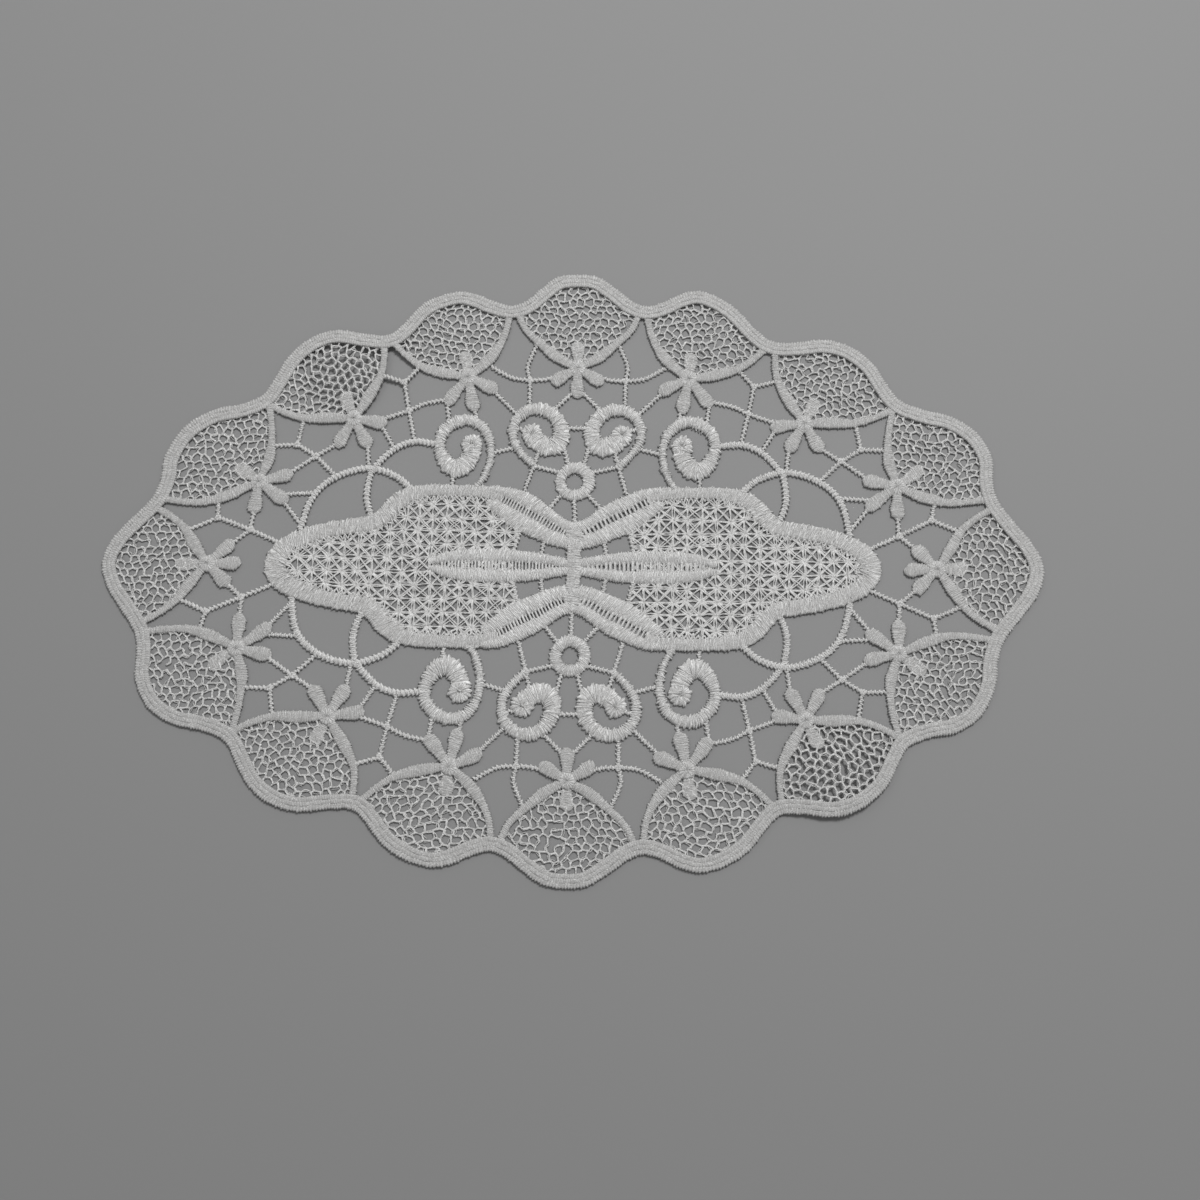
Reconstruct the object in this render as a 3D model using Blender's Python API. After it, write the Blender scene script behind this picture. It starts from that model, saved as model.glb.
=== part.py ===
"""Oval lace doily: one embroidered piece of white thread, lying flat.

The design is drawn for one quarter (x and y above zero) and mirrored twice, as the lace is.
Sixteen net-filled scallops run round the rim. Each carries a six-petal flower at its inner
corner. Thin cords join the flowers to eight scrolls, two small rings and a long medallion
with six leaves round the middle. Sizes are in millimetres and the model is in metres.
"""
import math

import bpy
import bmesh
from mathutils import Matrix, Vector

MM = 0.001
NODE = "lace_doily"

# Heights of the parts above the table.
NET_HEIGHT = 1.0
CORD_HEIGHT = 1.1
KNOT_HEIGHT = 1.25
HEAVY_CORD_HEIGHT = 1.3
ARC_HEIGHT = 1.55
PETAL_HEIGHT = 1.75
BAND_HEIGHT = 1.65
SCROLL_HEIGHT = 2.1
LEAF_HEIGHT = 1.85
RIM_HEIGHT = 1.9
RING_HEIGHT = 2.0

# Widths that stay the same along a part.
RIM_WIDTH = 3.2
CORD_WIDTH = 1.1
CORD_OVERLAP = 0.35
KNOT_WIDTH = 1.9
HEAVY_CORD_WIDTH = 1.4
TOP_SHARE = 0.55
BOSS_FOOT_SHARE = 0.55
BOSS_TOP_SHARE = 0.37

# The strokes are drawn a little past the middle lines and below the table, and then cut.
PAST_MIDDLE = 2.0
CUT_DEPTH = 0.5
CUTTER_SIZE = (200.0, 200.0, 20.0)

# Lengths of the straight steps that the smooth lines are made of.
RIM_STEP = 3.6
ARC_STEP = 5.0
CORD_STEP = 5.5
SCROLL_STEP = 3.6
BAND_STEP = 5.0
SHORTEST_EDGE = 0.3
FLAT_ANGLE = 0.5
ON_PLANE = 1e-7

# Outer edge of one quarter, from the top crest to the right-hand crest.
# columns: place, x, y
RIM = (
    ("crest 0", -0.4, 75.1),
    ("shoulder", 5.0, 74.4),
    ("slope", 9.8, 71.0),
    ("slope", 13.5, 68.0),
    ("notch 1", 17.1, 66.7),
    ("slope", 21.0, 67.7),
    ("shoulder", 25.5, 69.9),
    ("crest 1", 29.8, 70.9),
    ("shoulder", 34.5, 69.5),
    ("slope", 39.5, 66.1),
    ("slope", 44.2, 61.0),
    ("notch 2", 48.3, 58.1),
    ("slope", 54.0, 58.1),
    ("crest 2", 61.0, 58.9),
    ("shoulder", 67.2, 57.1),
    ("slope", 72.6, 52.7),
    ("slope", 76.3, 46.6),
    ("notch 3", 79.2, 42.6),
    ("slope", 84.5, 40.5),
    ("shoulder", 91.5, 38.9),
    ("crest 3", 97.6, 34.6),
    ("shoulder", 101.0, 28.0),
    ("slope", 101.3, 21.5),
    ("notch 4", 102.7, 16.7),
    ("slope", 106.3, 11.9),
    ("shoulder", 110.6, 6.3),
    ("crest 4", 112.7, -0.4),
)

# Inner edges of the scallops, from a notch to the flower, with the width at each point.
# columns: name, points (x, y, width)
ARCS = (
    ("0 right",
     ((15.4, 65.0, 1.7), (13.2, 60.4, 1.7), (9.3, 56.6, 2.0), (5.4, 53.4, 2.8), (1.2, 51.0, 1.8))),
    ("1 left",
     ((17.4, 65.2, 1.7), (17.7, 61.5, 1.7), (19.2, 57.0, 1.9), (22.2, 52.6, 2.9), (26.6, 48.4, 1.8))),
    ("1 right",
     ((46.6, 56.2, 1.7), (43.4, 53.1, 1.7), (39.6, 50.4, 2.0), (34.4, 48.9, 2.9), (28.6, 47.8, 1.8))),
    ("2 left",
     ((48.9, 56.4, 1.7), (48.9, 51.5, 1.7), (49.6, 47.2, 1.9), (52.2, 42.2, 2.9), (55.0, 37.6, 1.8))),
    ("2 right",
     ((77.4, 40.4, 1.7), (73.4, 38.3, 1.7), (68.2, 36.7, 2.0), (62.6, 36.7, 2.9), (56.8, 36.5, 1.8))),
    ("3 left",
     ((77.4, 40.2, 1.7), (76.4, 35.4, 1.7), (76.0, 31.0, 1.9), (76.2, 26.6, 2.9), (77.6, 21.8, 1.8))),
    ("3 right",
     ((101.0, 17.0, 1.7), (95.0, 16.3, 1.7), (90.0, 16.4, 2.0), (84.6, 17.8, 2.9), (79.2, 20.0, 1.8))),
    ("4 left",
     ((101.0, 14.4, 1.7), (97.0, 12.0, 1.7), (93.6, 9.1, 2.0), (91.0, 5.2, 2.9), (88.0, 0.9, 1.8))),
)

# Flowers, each at the inner corner of a scallop: its middle and its four free petals.
# columns: name, x, y, petals (angle in degrees, length)
FLOWERS = (
    ("0", 0.0, 50.4, ((90, 7.0), (-31, 7.4), (-90, 7.6))),
    ("1", 27.6, 47.8, ((84, 6.8), (205, 8.2), (258, 9.0), (312, 8.7))),
    ("2", 55.7, 36.5, ((66, 7.3), (188, 8.2), (241, 8.3), (299, 8.2))),
    ("3", 78.0, 20.6, ((37, 7.7), (168, 8.4), (216, 9.4), (270, 8.2))),
    ("4", 87.2, 0.0, ((0, 7.4), (135, 7.8), (180, 7.8))),
)
# Width of a petal along its length.
# columns: share of the length, width
PETAL = ((0.08, 1.8), (0.70, 3.6), (1.0, 1.8))
HEART_WIDTH = 3.4
HEART_HEIGHT = 2.0

# Scrolls, wide at the eye and thin at the tail.
# columns: name, points (x, y, width)
SCROLLS = (
    ("inner", (
        (11.2, 33.6, 4.2), (9.4, 31.4, 4.4), (6.6, 30.1, 4.2), (4.2, 31.4, 3.8), (3.8, 34.6, 3.5),
        (5.6, 38.0, 3.4), (9.2, 39.8, 3.1), (13.2, 38.8, 2.8), (15.6, 35.6, 2.4), (15.6, 31.8, 2.1),
        (13.6, 28.4, 1.8), (10.4, 25.2, 1.6))),
    ("outer", (
        (25.9, 30.4, 4.2), (26.1, 27.6, 4.3), (28.4, 24.4, 4.3), (31.8, 25.0, 4.1), (33.9, 28.8, 3.6),
        (33.4, 32.8, 3.3), (30.8, 35.8, 3.0), (27.0, 36.7, 2.8), (23.6, 35.0, 2.5), (21.5, 31.4, 2.0),
        (21.2, 26.8, 1.8), (22.4, 22.6, 1.6), (24.2, 19.6, 1.6))),
)
EYE_WIDTH = 4.8
EYE_HEIGHT = 2.2
EYE_SIDES = 8
EYE_TURN = 10

# Heavy cords: the long arcs between the medallion, the outer scroll and the flowers.
# columns: name, points (x, y)
HEAVY_CORDS = (
    ("scroll to crossing", ((34.8, 30.4), (40.2, 30.9), (44.6, 29.4), (47.8, 26.6), (50.4, 23.4))),
    ("crossing to medallion", ((50.4, 23.9), (51.2, 18.5), (50.8, 15.0), (49.4, 11.4))),
    ("medallion arch", (
        (40.4, 18.8), (44.4, 22.0), (50.4, 23.9), (56.4, 22.9), (61.6, 19.9), (64.8, 15.4), (66.4, 8.2))),
)

# Light cords: straight bars and short chains between the motifs.
# columns: name, points (x, y)
CORDS = (
    ("flower 0 to inner scroll", ((1.0, 44.4), (5.8, 39.6))),
    ("flower 0 to node", ((5.0, 48.2), (8.4, 47.4), (11.9, 47.2))),
    ("arc 0 to node", ((10.2, 56.6), (12.4, 51.0), (11.9, 47.2))),
    ("node to inner scroll", ((11.9, 47.2), (11.8, 40.0))),
    ("node to arc 1", ((11.9, 47.2), (16.6, 47.8), (21.8, 50.6))),
    ("flower 1 to inner scroll", ((21.0, 44.2), (15.2, 38.6))),
    ("arc 1 to node", ((40.0, 50.0), (43.6, 46.0))),
    ("node to arc 2", ((43.6, 46.0), (49.0, 47.6))),
    ("node to lower node", ((43.6, 46.0), (42.2, 38.8))),
    ("flower 1 to lower node", ((32.0, 42.0), (38.0, 40.8), (42.2, 38.8))),
    ("lower node to flower 2", ((42.2, 38.8), (49.0, 36.4))),
    ("lower node to heavy cord", ((42.2, 38.8), (40.3, 31.0))),
    ("flower 1 to outer scroll, left", ((25.6, 40.0), (25.2, 36.4))),
    ("flower 1 to outer scroll, right", ((32.8, 42.2), (31.8, 35.4))),
    ("flower 2 to heavy cord, left", ((49.0, 35.2), (45.6, 29.6))),
    ("flower 2 to heavy cord, right", ((52.0, 30.0), (51.2, 23.8))),
    ("flower 2 to crossing node", ((59.0, 30.4), (64.5, 26.9))),
    ("crossing node to flower 3", ((64.5, 26.9), (71.0, 22.4))),
    ("arch to crossing node", ((59.0, 21.6), (64.5, 26.9))),
    ("crossing node to node", ((64.5, 26.9), (69.4, 29.9))),
    ("node to arc 3", ((69.4, 29.9), (76.2, 29.8))),
    ("node to arc 2", ((69.4, 29.9), (68.3, 36.4))),
    ("flower 3 to arch, upper", ((71.0, 17.2), (63.6, 17.6))),
    ("flower 3 to arch, lower", ((71.4, 15.6), (66.4, 9.6))),
    ("flower 3 to low node", ((78.0, 14.0), (78.2, 8.3))),
    ("medallion to low node", ((70.4, 4.8), (78.2, 8.3))),
    ("low node to end node", ((78.2, 8.3), (86.3, 11.8))),
    ("low node to flower 4", ((78.2, 8.3), (82.2, 4.9))),
    ("end node to arc 3", ((86.3, 11.8), (87.2, 17.0))),
    ("end node to arc 4", ((86.3, 11.8), (93.0, 8.8))),
    ("bar between the inner scrolls", ((-4.0, 35.0), (4.0, 35.0))),
    ("ring to inner scroll", ((1.6, 24.6), (3.2, 30.6))),
    ("ring to scroll tail", ((2.0, 23.2), (10.4, 25.2))),
    ("scroll tail to scroll", ((10.4, 25.2), (9.0, 30.0))),
    ("scroll tail to leaf", ((10.4, 25.2), (12.4, 18.2))),
    ("ring to leaf, side", ((2.4, 19.0), (6.4, 14.4))),
    ("ring to leaves, middle", ((0.0, 19.4), (0.0, 9.0))),
    ("scroll to scroll", ((15.2, 29.8), (21.2, 28.3))),
    ("outer scroll to medallion", ((30.2, 24.0), (30.3, 18.6))),
    ("leaf to middle leaf", ((7.2, 6.8), (7.8, 2.8))),
    ("net end", ((13.2, 8.8), (14.7, 2.6))),
)

# Satin band round the medallion, from its tip on the long axis to the top of the leaf.
# columns: points (x, y, width)
MEDALLION = (
    (69.8, -4.4, 4.8), (71.2, -0.6, 5.2), (69.8, 3.4, 4.8), (65.6, 6.4, 4.2), (60.0, 8.2, 4.0),
    (53.6, 9.4, 4.0), (49.0, 10.1, 3.8), (46.3, 12.0, 3.6), (43.6, 15.3, 3.5), (40.2, 17.6, 3.4),
    (35.0, 18.5, 3.1), (28.0, 18.6, 3.0), (22.0, 18.4, 3.3), (17.4, 17.6, 3.6))

# Leaves round the middle: two satin halves each, with an open rung ladder between them.
# columns: name, points (x, y, width)
LEAVES = (
    ("slanting, upper half", (
        (19.6, 18.9, 1.8), (15.0, 17.4, 3.3), (10.8, 15.5, 4.0), (6.8, 13.4, 4.2), (3.0, 10.9, 3.4),
        (-3.0, 8.6, 3.2))),
    ("slanting, lower half", (
        (20.4, 16.2, 2.4), (17.2, 13.4, 4.2), (13.4, 10.9, 4.8), (9.2, 8.9, 4.3), (5.0, 7.0, 3.6),
        (-3.0, 5.6, 3.4))),
    ("long, upper half", (
        (34.6, 0.6, 1.6), (29.0, 2.1, 3.0), (20.0, 2.5, 3.5), (10.0, 2.1, 3.0), (1.4, 0.9, 2.4))),
)
# Net floor under the slanting leaf's ladder, and the near edge of the star net.
LADDER_FLOOR = ((20.6, 18.6), (12.0, 14.4), (4.0, 10.0), (4.6, 8.2), (12.6, 12.4), (20.8, 16.8))
STAR_NET_EDGE = ((18.6, 14.6), (13.4, 8.8), (14.5, -PAST_MIDDLE))
MIDDLE_FLOOR = ((0.0, -PAST_MIDDLE), (15.0, -PAST_MIDDLE), (15.0, 1.2), (0.0, 1.0))

STALK_WIDTH = 4.0
STALK_TOP = 6.4

RING_CENTRE = (0.0, 21.4)
RING_OUTER = 4.3
RING_INNER = 2.0
RING_SIDES = 12

# How the lace lies: soft shifts of the cloth along x and y, and low lifts off the table.
# columns: place, x, y, reach, shift x, shift y, lift
LIE = (
    ("upper left drawn in", -62.0, 46.0, 62.0, 1.3, -0.1, 0.0),
    ("lower left pushed out", -84.0, -40.0, 66.0, -1.9, -0.4, 0.0),
    ("lower right drawn in", 80.0, -42.0, 50.0, -1.0, 0.6, 0.0),
    ("upper right", 70.0, 40.0, 55.0, 0.3, 0.1, 0.0),
    ("foot of the oval", 0.0, -45.0, 48.0, -0.5, -0.6, 0.0),
    ("head of the oval", 0.0, 30.0, 50.0, 0.3, -0.3, 0.0),
    ("left end, low", -102.0, 14.0, 30.0, -0.3, -1.1, 0.0),
    ("right end, high", 102.0, 14.0, 30.0, -0.3, 1.1, 0.0),
    ("third scallop, upper left", -61.0, 53.0, 17.0, 0.0, 0.0, 1.3),
    ("third scallop, lower right", 66.0, -52.0, 17.0, 0.0, 0.0, 1.1),
)

COLOUR = (0.80, 0.79, 0.76, 1.0)
ROUGHNESS = 0.85


def clear_scene():
    for obj in list(bpy.data.objects):
        bpy.data.objects.remove(obj, do_unlink=True)


def make_collection(name):
    collection = bpy.data.collections.new(name)
    bpy.context.scene.collection.children.link(collection)
    return collection


def thread_material():
    material = bpy.data.materials.new("white_thread")
    material.use_nodes = True
    shader = material.node_tree.nodes["Principled BSDF"]
    shader.inputs["Base Color"].default_value = COLOUR
    shader.inputs["Roughness"].default_value = ROUGHNESS
    shader.inputs["Metallic"].default_value = 0.0
    return material


def spline(rows, step):
    """Points about one step apart on a smooth line through the rows, with their other columns."""
    rows = [tuple(float(v) for v in row) for row in rows]
    if len(rows) < 3:
        return rows
    ends = [tuple(2 * a - b for a, b in zip(rows[0], rows[1]))]
    ends += rows
    ends.append(tuple(2 * a - b for a, b in zip(rows[-1], rows[-2])))
    out = [rows[0]]
    for i in range(1, len(ends) - 2):
        p0, p1, p2, p3 = ends[i - 1:i + 3]
        length = math.dist(p1[:2], p2[:2])
        count = max(1, round(length / step))
        for k in range(1, count + 1):
            t = k / count
            out.append(tuple(
                0.5 * (2 * b + (c - a) * t + (2 * a - 5 * b + 4 * c - d) * t ** 2
                       + (3 * b - a - 3 * c + d) * t ** 3)
                for a, b, c, d in zip(p0, p1, p2, p3)))
    return out


def side_vectors(points):
    """Unit vectors to the left of a line at each of its points, stretched at the corners."""
    sides = []
    last = len(points) - 1
    for i in range(last + 1):
        before = Vector(points[i][:2]) - Vector(points[max(i - 1, 0)][:2])
        after = Vector(points[min(i + 1, last)][:2]) - Vector(points[i][:2])
        before = before.normalized() if before.length > 0 else after.normalized()
        after = after.normalized() if after.length > 0 else before.normalized()
        along = (before + after).normalized()
        stretch = 1 / max(along.dot(after), 0.75)
        sides.append(Vector((-along.y, along.x)) * stretch)
    return sides


def offset(points, distance):
    sides = side_vectors(points)
    return [tuple(Vector(p[:2]) + s * distance) for p, s in zip(points, sides)]


def add_band(target, points, width, height, top_share=TOP_SHARE):
    """Loft a ridge along a line. The width is one number, or the third column.

    Its top is a flat strip with the given share of the width, or a crest where the share is 0.
    """
    rings = []
    for point, side in zip(points, side_vectors(points)):
        half = (point[2] if width is None else width) / 2
        foot = half + half * (1 - top_share) / height * CUT_DEPTH
        top = half * top_share
        corners = [(foot, -CUT_DEPTH), (top, height), (-top, height), (-foot, -CUT_DEPTH)]
        if top_share == 0:
            corners.pop(2)
        ring = []
        for across, up in corners:
            place = Vector(point[:2]) + side * across
            ring.append(target.verts.new((place.x * MM, place.y * MM, up * MM)))
        rings.append(ring)
    for low, high in zip(rings, rings[1:]):
        for k in range(len(low)):
            n = (k + 1) % len(low)
            target.faces.new((low[k], low[n], high[n], high[k]))
    target.faces.new(tuple(reversed(rings[0])))
    target.faces.new(tuple(rings[-1]))


def add_plate(target, name, outline, height):
    """A flat plate with the given outline, made from a filled curve."""
    curve = bpy.data.curves.new(name, "CURVE")
    curve.dimensions = "2D"
    curve.fill_mode = "BOTH"
    curve.extrude = (height + CUT_DEPTH) / 2 * MM
    line = curve.splines.new("POLY")
    line.points.add(len(outline) - 1)
    for point, place in zip(line.points, outline):
        point.co = (place[0] * MM, place[1] * MM, 0.0, 1.0)
    line.use_cyclic_u = True
    obj = bpy.data.objects.new(name, curve)
    bpy.context.scene.collection.objects.link(obj)
    bpy.context.view_layer.update()
    mesh = bpy.data.meshes.new_from_object(obj.evaluated_get(bpy.context.evaluated_depsgraph_get()))
    plate = bmesh.new()
    plate.from_mesh(mesh)
    bmesh.ops.remove_doubles(plate, verts=plate.verts, dist=0.00001)
    bmesh.ops.translate(plate, verts=plate.verts, vec=(0, 0, (height - CUT_DEPTH) / 2 * MM))
    bmesh.ops.recalc_face_normals(plate, faces=plate.faces)
    plate.to_mesh(mesh)
    plate.free()
    target.from_mesh(mesh)
    bpy.data.objects.remove(obj, do_unlink=True)
    bpy.data.curves.remove(curve)
    bpy.data.meshes.remove(mesh)


def add_rim(target):
    edge = spline([row[1:] for row in RIM], RIM_STEP)
    start = [(-x, y) for x, y in edge[1:3]][::-1]
    end = [(x, -y) for x, y in edge[-3:-1]][::-1]
    line = offset(start + edge + end, -RIM_WIDTH / 2)
    add_band(target, line, RIM_WIDTH, RIM_HEIGHT)
    return line


def add_arcs(target):
    lines = {}
    for name, points in ARCS:
        line = spline(points, ARC_STEP)
        add_band(target, line, None, ARC_HEIGHT)
        lines[name] = [p[:2] for p in line]
    return lines


def add_boss(target, middle, width, height, sides, turn):
    """A low round boss with sloping sides."""
    place = Matrix.Translation((middle[0] * MM, middle[1] * MM, (height - CUT_DEPTH) / 2 * MM))
    bmesh.ops.create_cone(
        target, cap_ends=True, segments=sides, radius1=width * BOSS_FOOT_SHARE * MM,
        radius2=width * BOSS_TOP_SHARE * MM,
        depth=(height + CUT_DEPTH) * MM, matrix=place @ Matrix.Rotation(math.radians(turn), 4, "Z"))


def add_scrolls(target):
    for name, points in SCROLLS:
        add_band(target, spline(points, SCROLL_STEP), None, SCROLL_HEIGHT)
        add_boss(target, points[0], EYE_WIDTH, EYE_HEIGHT, EYE_SIDES, EYE_TURN)


def add_flowers(target):
    for name, x, y, petals in FLOWERS:
        for angle, length in petals:
            way = Vector((math.cos(math.radians(angle)), math.sin(math.radians(angle))))
            rows = [(x + way.x * length * s, y + way.y * length * s, w) for s, w in PETAL]
            add_band(target, rows, None, PETAL_HEIGHT)
        add_boss(target, (x, y), HEART_WIDTH, HEART_HEIGHT, 6, petals[0][0] + 30)


def nearest(line, place):
    return min(range(len(line)), key=lambda i: math.dist(line[i], place))


def add_nets(target, rim, arcs):
    """Plates that fill the scallops between the rim and the two inner edges."""
    notches = [row[1:] for row in RIM if row[0].startswith("notch")]
    cuts = [nearest(rim, place) for place in notches]
    middle = [(x, y) for name, x, y, petals in FLOWERS]
    for i in range(5):
        if i == 0:
            outline = [(-PAST_MIDDLE, rim[0][1])] + [p for p in rim[:cuts[0]] if p[0] > 0]
            outline += arcs["0 right"] + [(-PAST_MIDDLE, middle[0][1])]
        elif i == 4:
            outline = arcs["4 left"][::-1] + [p for p in rim[cuts[3] + 1:] if p[1] > 0]
            outline += [(rim[-1][0], -PAST_MIDDLE), (middle[4][0], -PAST_MIDDLE)]
        else:
            outline = arcs["%d left" % i][::-1] + rim[cuts[i - 1] + 1:cuts[i]] + arcs["%d right" % i]
        add_plate(target, "net", outline, NET_HEIGHT)


def add_medallion(target):
    band = spline(MEDALLION, BAND_STEP)
    add_band(target, band, None, BAND_HEIGHT)
    for name, points in LEAVES:
        add_band(target, spline(points, BAND_STEP), None, LEAF_HEIGHT)
    add_plate(target, "ladder", LADDER_FLOOR, NET_HEIGHT)
    add_band(target, ((0.0, STALK_TOP), (0.0, -PAST_MIDDLE)), STALK_WIDTH, BAND_HEIGHT)
    outline = [p[:2] for p in band if p[1] >= 0]
    outline = [(outline[0][0], -PAST_MIDDLE)] + outline + list(STAR_NET_EDGE)
    add_plate(target, "star net", outline, NET_HEIGHT)
    add_plate(target, "middle floor", MIDDLE_FLOOR, NET_HEIGHT)


def add_ring(target):
    x, y = RING_CENTRE
    middle = (RING_OUTER + RING_INNER) / 2
    points = []
    for k in range(RING_SIDES // 2 + 4):
        a = math.radians(-90 + 360 / RING_SIDES * (k - 1.5))
        points.append((x + middle * math.cos(a), y + middle * math.sin(a)))
    add_band(target, points, RING_OUTER - RING_INNER, RING_HEIGHT)


def add_knots(target):
    """A small knot wherever three or more cords meet."""
    ends = [p for name, points in CORDS for p in (points[0], points[-1])]
    for x, y in sorted({p for p in ends if ends.count(p) >= 3}):
        add_boss(target, (x, y), KNOT_WIDTH, KNOT_HEIGHT, 6, 0)


def add_cords(target):
    for name, points in HEAVY_CORDS:
        add_band(target, spline(points, CORD_STEP), HEAVY_CORD_WIDTH, HEAVY_CORD_HEIGHT)
    for name, points in CORDS:
        start, end = Vector(points[0]), Vector(points[-1])
        start += (start - Vector(points[1])).normalized() * CORD_OVERLAP
        end += (end - Vector(points[-2])).normalized() * CORD_OVERLAP
        line = (tuple(start),) + points[1:-1] + (tuple(end),)
        add_band(target, spline(line, CORD_STEP), CORD_WIDTH, CORD_HEIGHT, 0)
    add_knots(target)


def on_planes(vert):
    """The sides of the quarter, or the underside, that a point lies on."""
    return {k for k in range(3) if abs(vert.co[k]) < ON_PLANE}


def can_join(keep, drop):
    """Whether one end of an edge can move onto the other and leave a sound surface."""
    if not on_planes(drop) <= on_planes(keep):
        return False
    near = {e.other_vert(keep) for e in keep.link_edges} & {e.other_vert(drop) for e in drop.link_edges}
    if len(near) != 2:
        return False
    for face in drop.link_faces:
        if keep in face.verts:
            continue
        moved = [keep.co if v == drop else v.co for v in face.verts]
        normal = (moved[1] - moved[0]).cross(moved[2] - moved[0])
        if normal.length < 1e-12 or normal.normalized().dot(face.normal) < 0.8:
            return False
    return True


def drop_short_edges(form, limit):
    """Join the ends of the tiny edges that the crossings leave."""
    for sweep in range(4):
        form.normal_update()
        short = sorted((e for e in form.edges if e.calc_length() < limit), key=lambda e: e.calc_length())
        for edge in short:
            if not edge.is_valid or edge.calc_length() >= limit:
                continue
            a, b = edge.verts
            for keep, drop in ((a, b), (b, a)):
                if can_join(keep, drop):
                    around = [f for f in drop.link_faces]
                    bmesh.ops.weld_verts(form, targetmap={drop: keep})
                    for face in around:
                        if face.is_valid:
                            face.normal_update()
                    break


def lie(place):
    """Where a point of the even design comes to lie in the cloth."""
    shift = Vector((0, 0, 0))
    for name, x, y, reach, along, across, lift in LIE:
        far = math.hypot(place.x / MM - x, place.y / MM - y) / reach
        if far < 1:
            share = (1 - far * far) ** 2
            shift += Vector((along, across, lift)) * share * MM
    return place + shift


def build():
    clear_scene()
    parts = make_collection("lace_doily_parts")
    cutters = make_collection("cutters")

    strokes = bmesh.new()
    rim = add_rim(strokes)
    arcs = add_arcs(strokes)
    add_flowers(strokes)
    add_nets(strokes, rim, arcs)
    add_scrolls(strokes)
    add_medallion(strokes)
    add_ring(strokes)
    add_cords(strokes)
    mesh = bpy.data.meshes.new(NODE)
    strokes.to_mesh(mesh)
    strokes.free()
    doily = bpy.data.objects.new(NODE, mesh)
    parts.objects.link(doily)

    # The cutter keeps one quarter and everything above the table.
    size = Vector(CUTTER_SIZE) * MM
    bpy.ops.mesh.primitive_cube_add(size=1, location=size / 2)
    quarter = bpy.context.object
    quarter.name = "quarter_cutter"
    quarter.scale = size
    for collection in list(quarter.users_collection):
        collection.objects.unlink(quarter)
    cutters.objects.link(quarter)
    quarter.hide_render = True
    quarter.display_type = "WIRE"

    cut = doily.modifiers.new("quarter", "BOOLEAN")
    cut.operation = "INTERSECT"
    cut.solver = "EXACT"
    cut.use_self = True
    cut.object = quarter
    bpy.context.view_layer.update()
    whole = bpy.data.meshes.new_from_object(doily.evaluated_get(bpy.context.evaluated_depsgraph_get()))
    doily.modifiers.clear()

    form = bmesh.new()
    form.from_mesh(whole)
    bmesh.ops.dissolve_limit(form, angle_limit=math.radians(FLAT_ANGLE), verts=form.verts, edges=form.edges)
    bmesh.ops.triangulate(form, faces=form.faces)
    drop_short_edges(form, SHORTEST_EDGE * MM)
    sides = [f for f in form.faces if any(all(abs(v.co[k]) < ON_PLANE for v in f.verts) for k in (0, 1))]
    bmesh.ops.delete(form, geom=sides, context="FACES_ONLY")
    bmesh.ops.delete(form, geom=[e for e in form.edges if not e.link_faces], context="EDGES")
    for axis in (0, 1):
        copy = bmesh.ops.duplicate(form, geom=form.verts[:] + form.edges[:] + form.faces[:])["geom"]
        verts = [g for g in copy if isinstance(g, bmesh.types.BMVert)]
        faces = [g for g in copy if isinstance(g, bmesh.types.BMFace)]
        for vert in verts:
            vert.co[axis] = -vert.co[axis]
        bmesh.ops.reverse_faces(form, faces=faces)
        seam = [v for v in form.verts if abs(v.co[axis]) < ON_PLANE]
        bmesh.ops.remove_doubles(form, verts=seam, dist=ON_PLANE)
    for vert in form.verts:
        vert.co = lie(vert.co)
    low = [min(v.co[k] for v in form.verts) for k in range(3)]
    high = [max(v.co[k] for v in form.verts) for k in range(3)]
    middle = Vector(((low[0] + high[0]) / 2, (low[1] + high[1]) / 2, low[2]))
    bmesh.ops.translate(form, verts=form.verts, vec=-middle)
    form.to_mesh(whole)
    form.free()
    doily.data = whole
    whole.materials.append(thread_material())
    whole.name = NODE


build()
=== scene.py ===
"""Oval lace doily, sewn thread by thread.

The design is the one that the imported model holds: one quarter, mirrored twice and then laid
down with small uneven shifts. Here every satin row is a run of separate stitches, every cord is
a narrow zig-zag row, and the nets are open thread. Tables and widths below are in millimetres;
the properties that a user would change are in metres.
"""
import math
from typing import NamedTuple

import bpy
import numpy as np
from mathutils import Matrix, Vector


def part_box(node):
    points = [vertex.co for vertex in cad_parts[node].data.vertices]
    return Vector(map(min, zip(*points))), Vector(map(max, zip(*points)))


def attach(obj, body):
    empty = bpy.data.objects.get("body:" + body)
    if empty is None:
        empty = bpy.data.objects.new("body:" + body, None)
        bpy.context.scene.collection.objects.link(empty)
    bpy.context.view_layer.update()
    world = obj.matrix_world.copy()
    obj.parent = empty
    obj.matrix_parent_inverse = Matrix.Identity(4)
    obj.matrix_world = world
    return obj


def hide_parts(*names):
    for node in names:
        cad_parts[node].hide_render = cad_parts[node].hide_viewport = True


bl_info = {
    "name": "Lace Doily",
    "version": (1, 0, 0),
    "blender": (4, 5, 0),
    "location": "3D View > Sidebar > Doily",
    "description": "Sews an oval embroidered lace doily, thread by thread, on its packed model",
    "category": "Add Mesh",
}

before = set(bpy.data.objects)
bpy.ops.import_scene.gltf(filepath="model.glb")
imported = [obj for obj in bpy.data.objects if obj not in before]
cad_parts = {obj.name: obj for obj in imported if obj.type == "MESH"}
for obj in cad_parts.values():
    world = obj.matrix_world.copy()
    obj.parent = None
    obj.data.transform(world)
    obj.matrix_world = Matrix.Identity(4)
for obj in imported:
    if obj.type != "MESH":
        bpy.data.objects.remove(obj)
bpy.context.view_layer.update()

MM = 0.001
NODE = "lace_doily"

# ---------------------------------------------------------------- the design, one quarter, in mm

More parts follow.
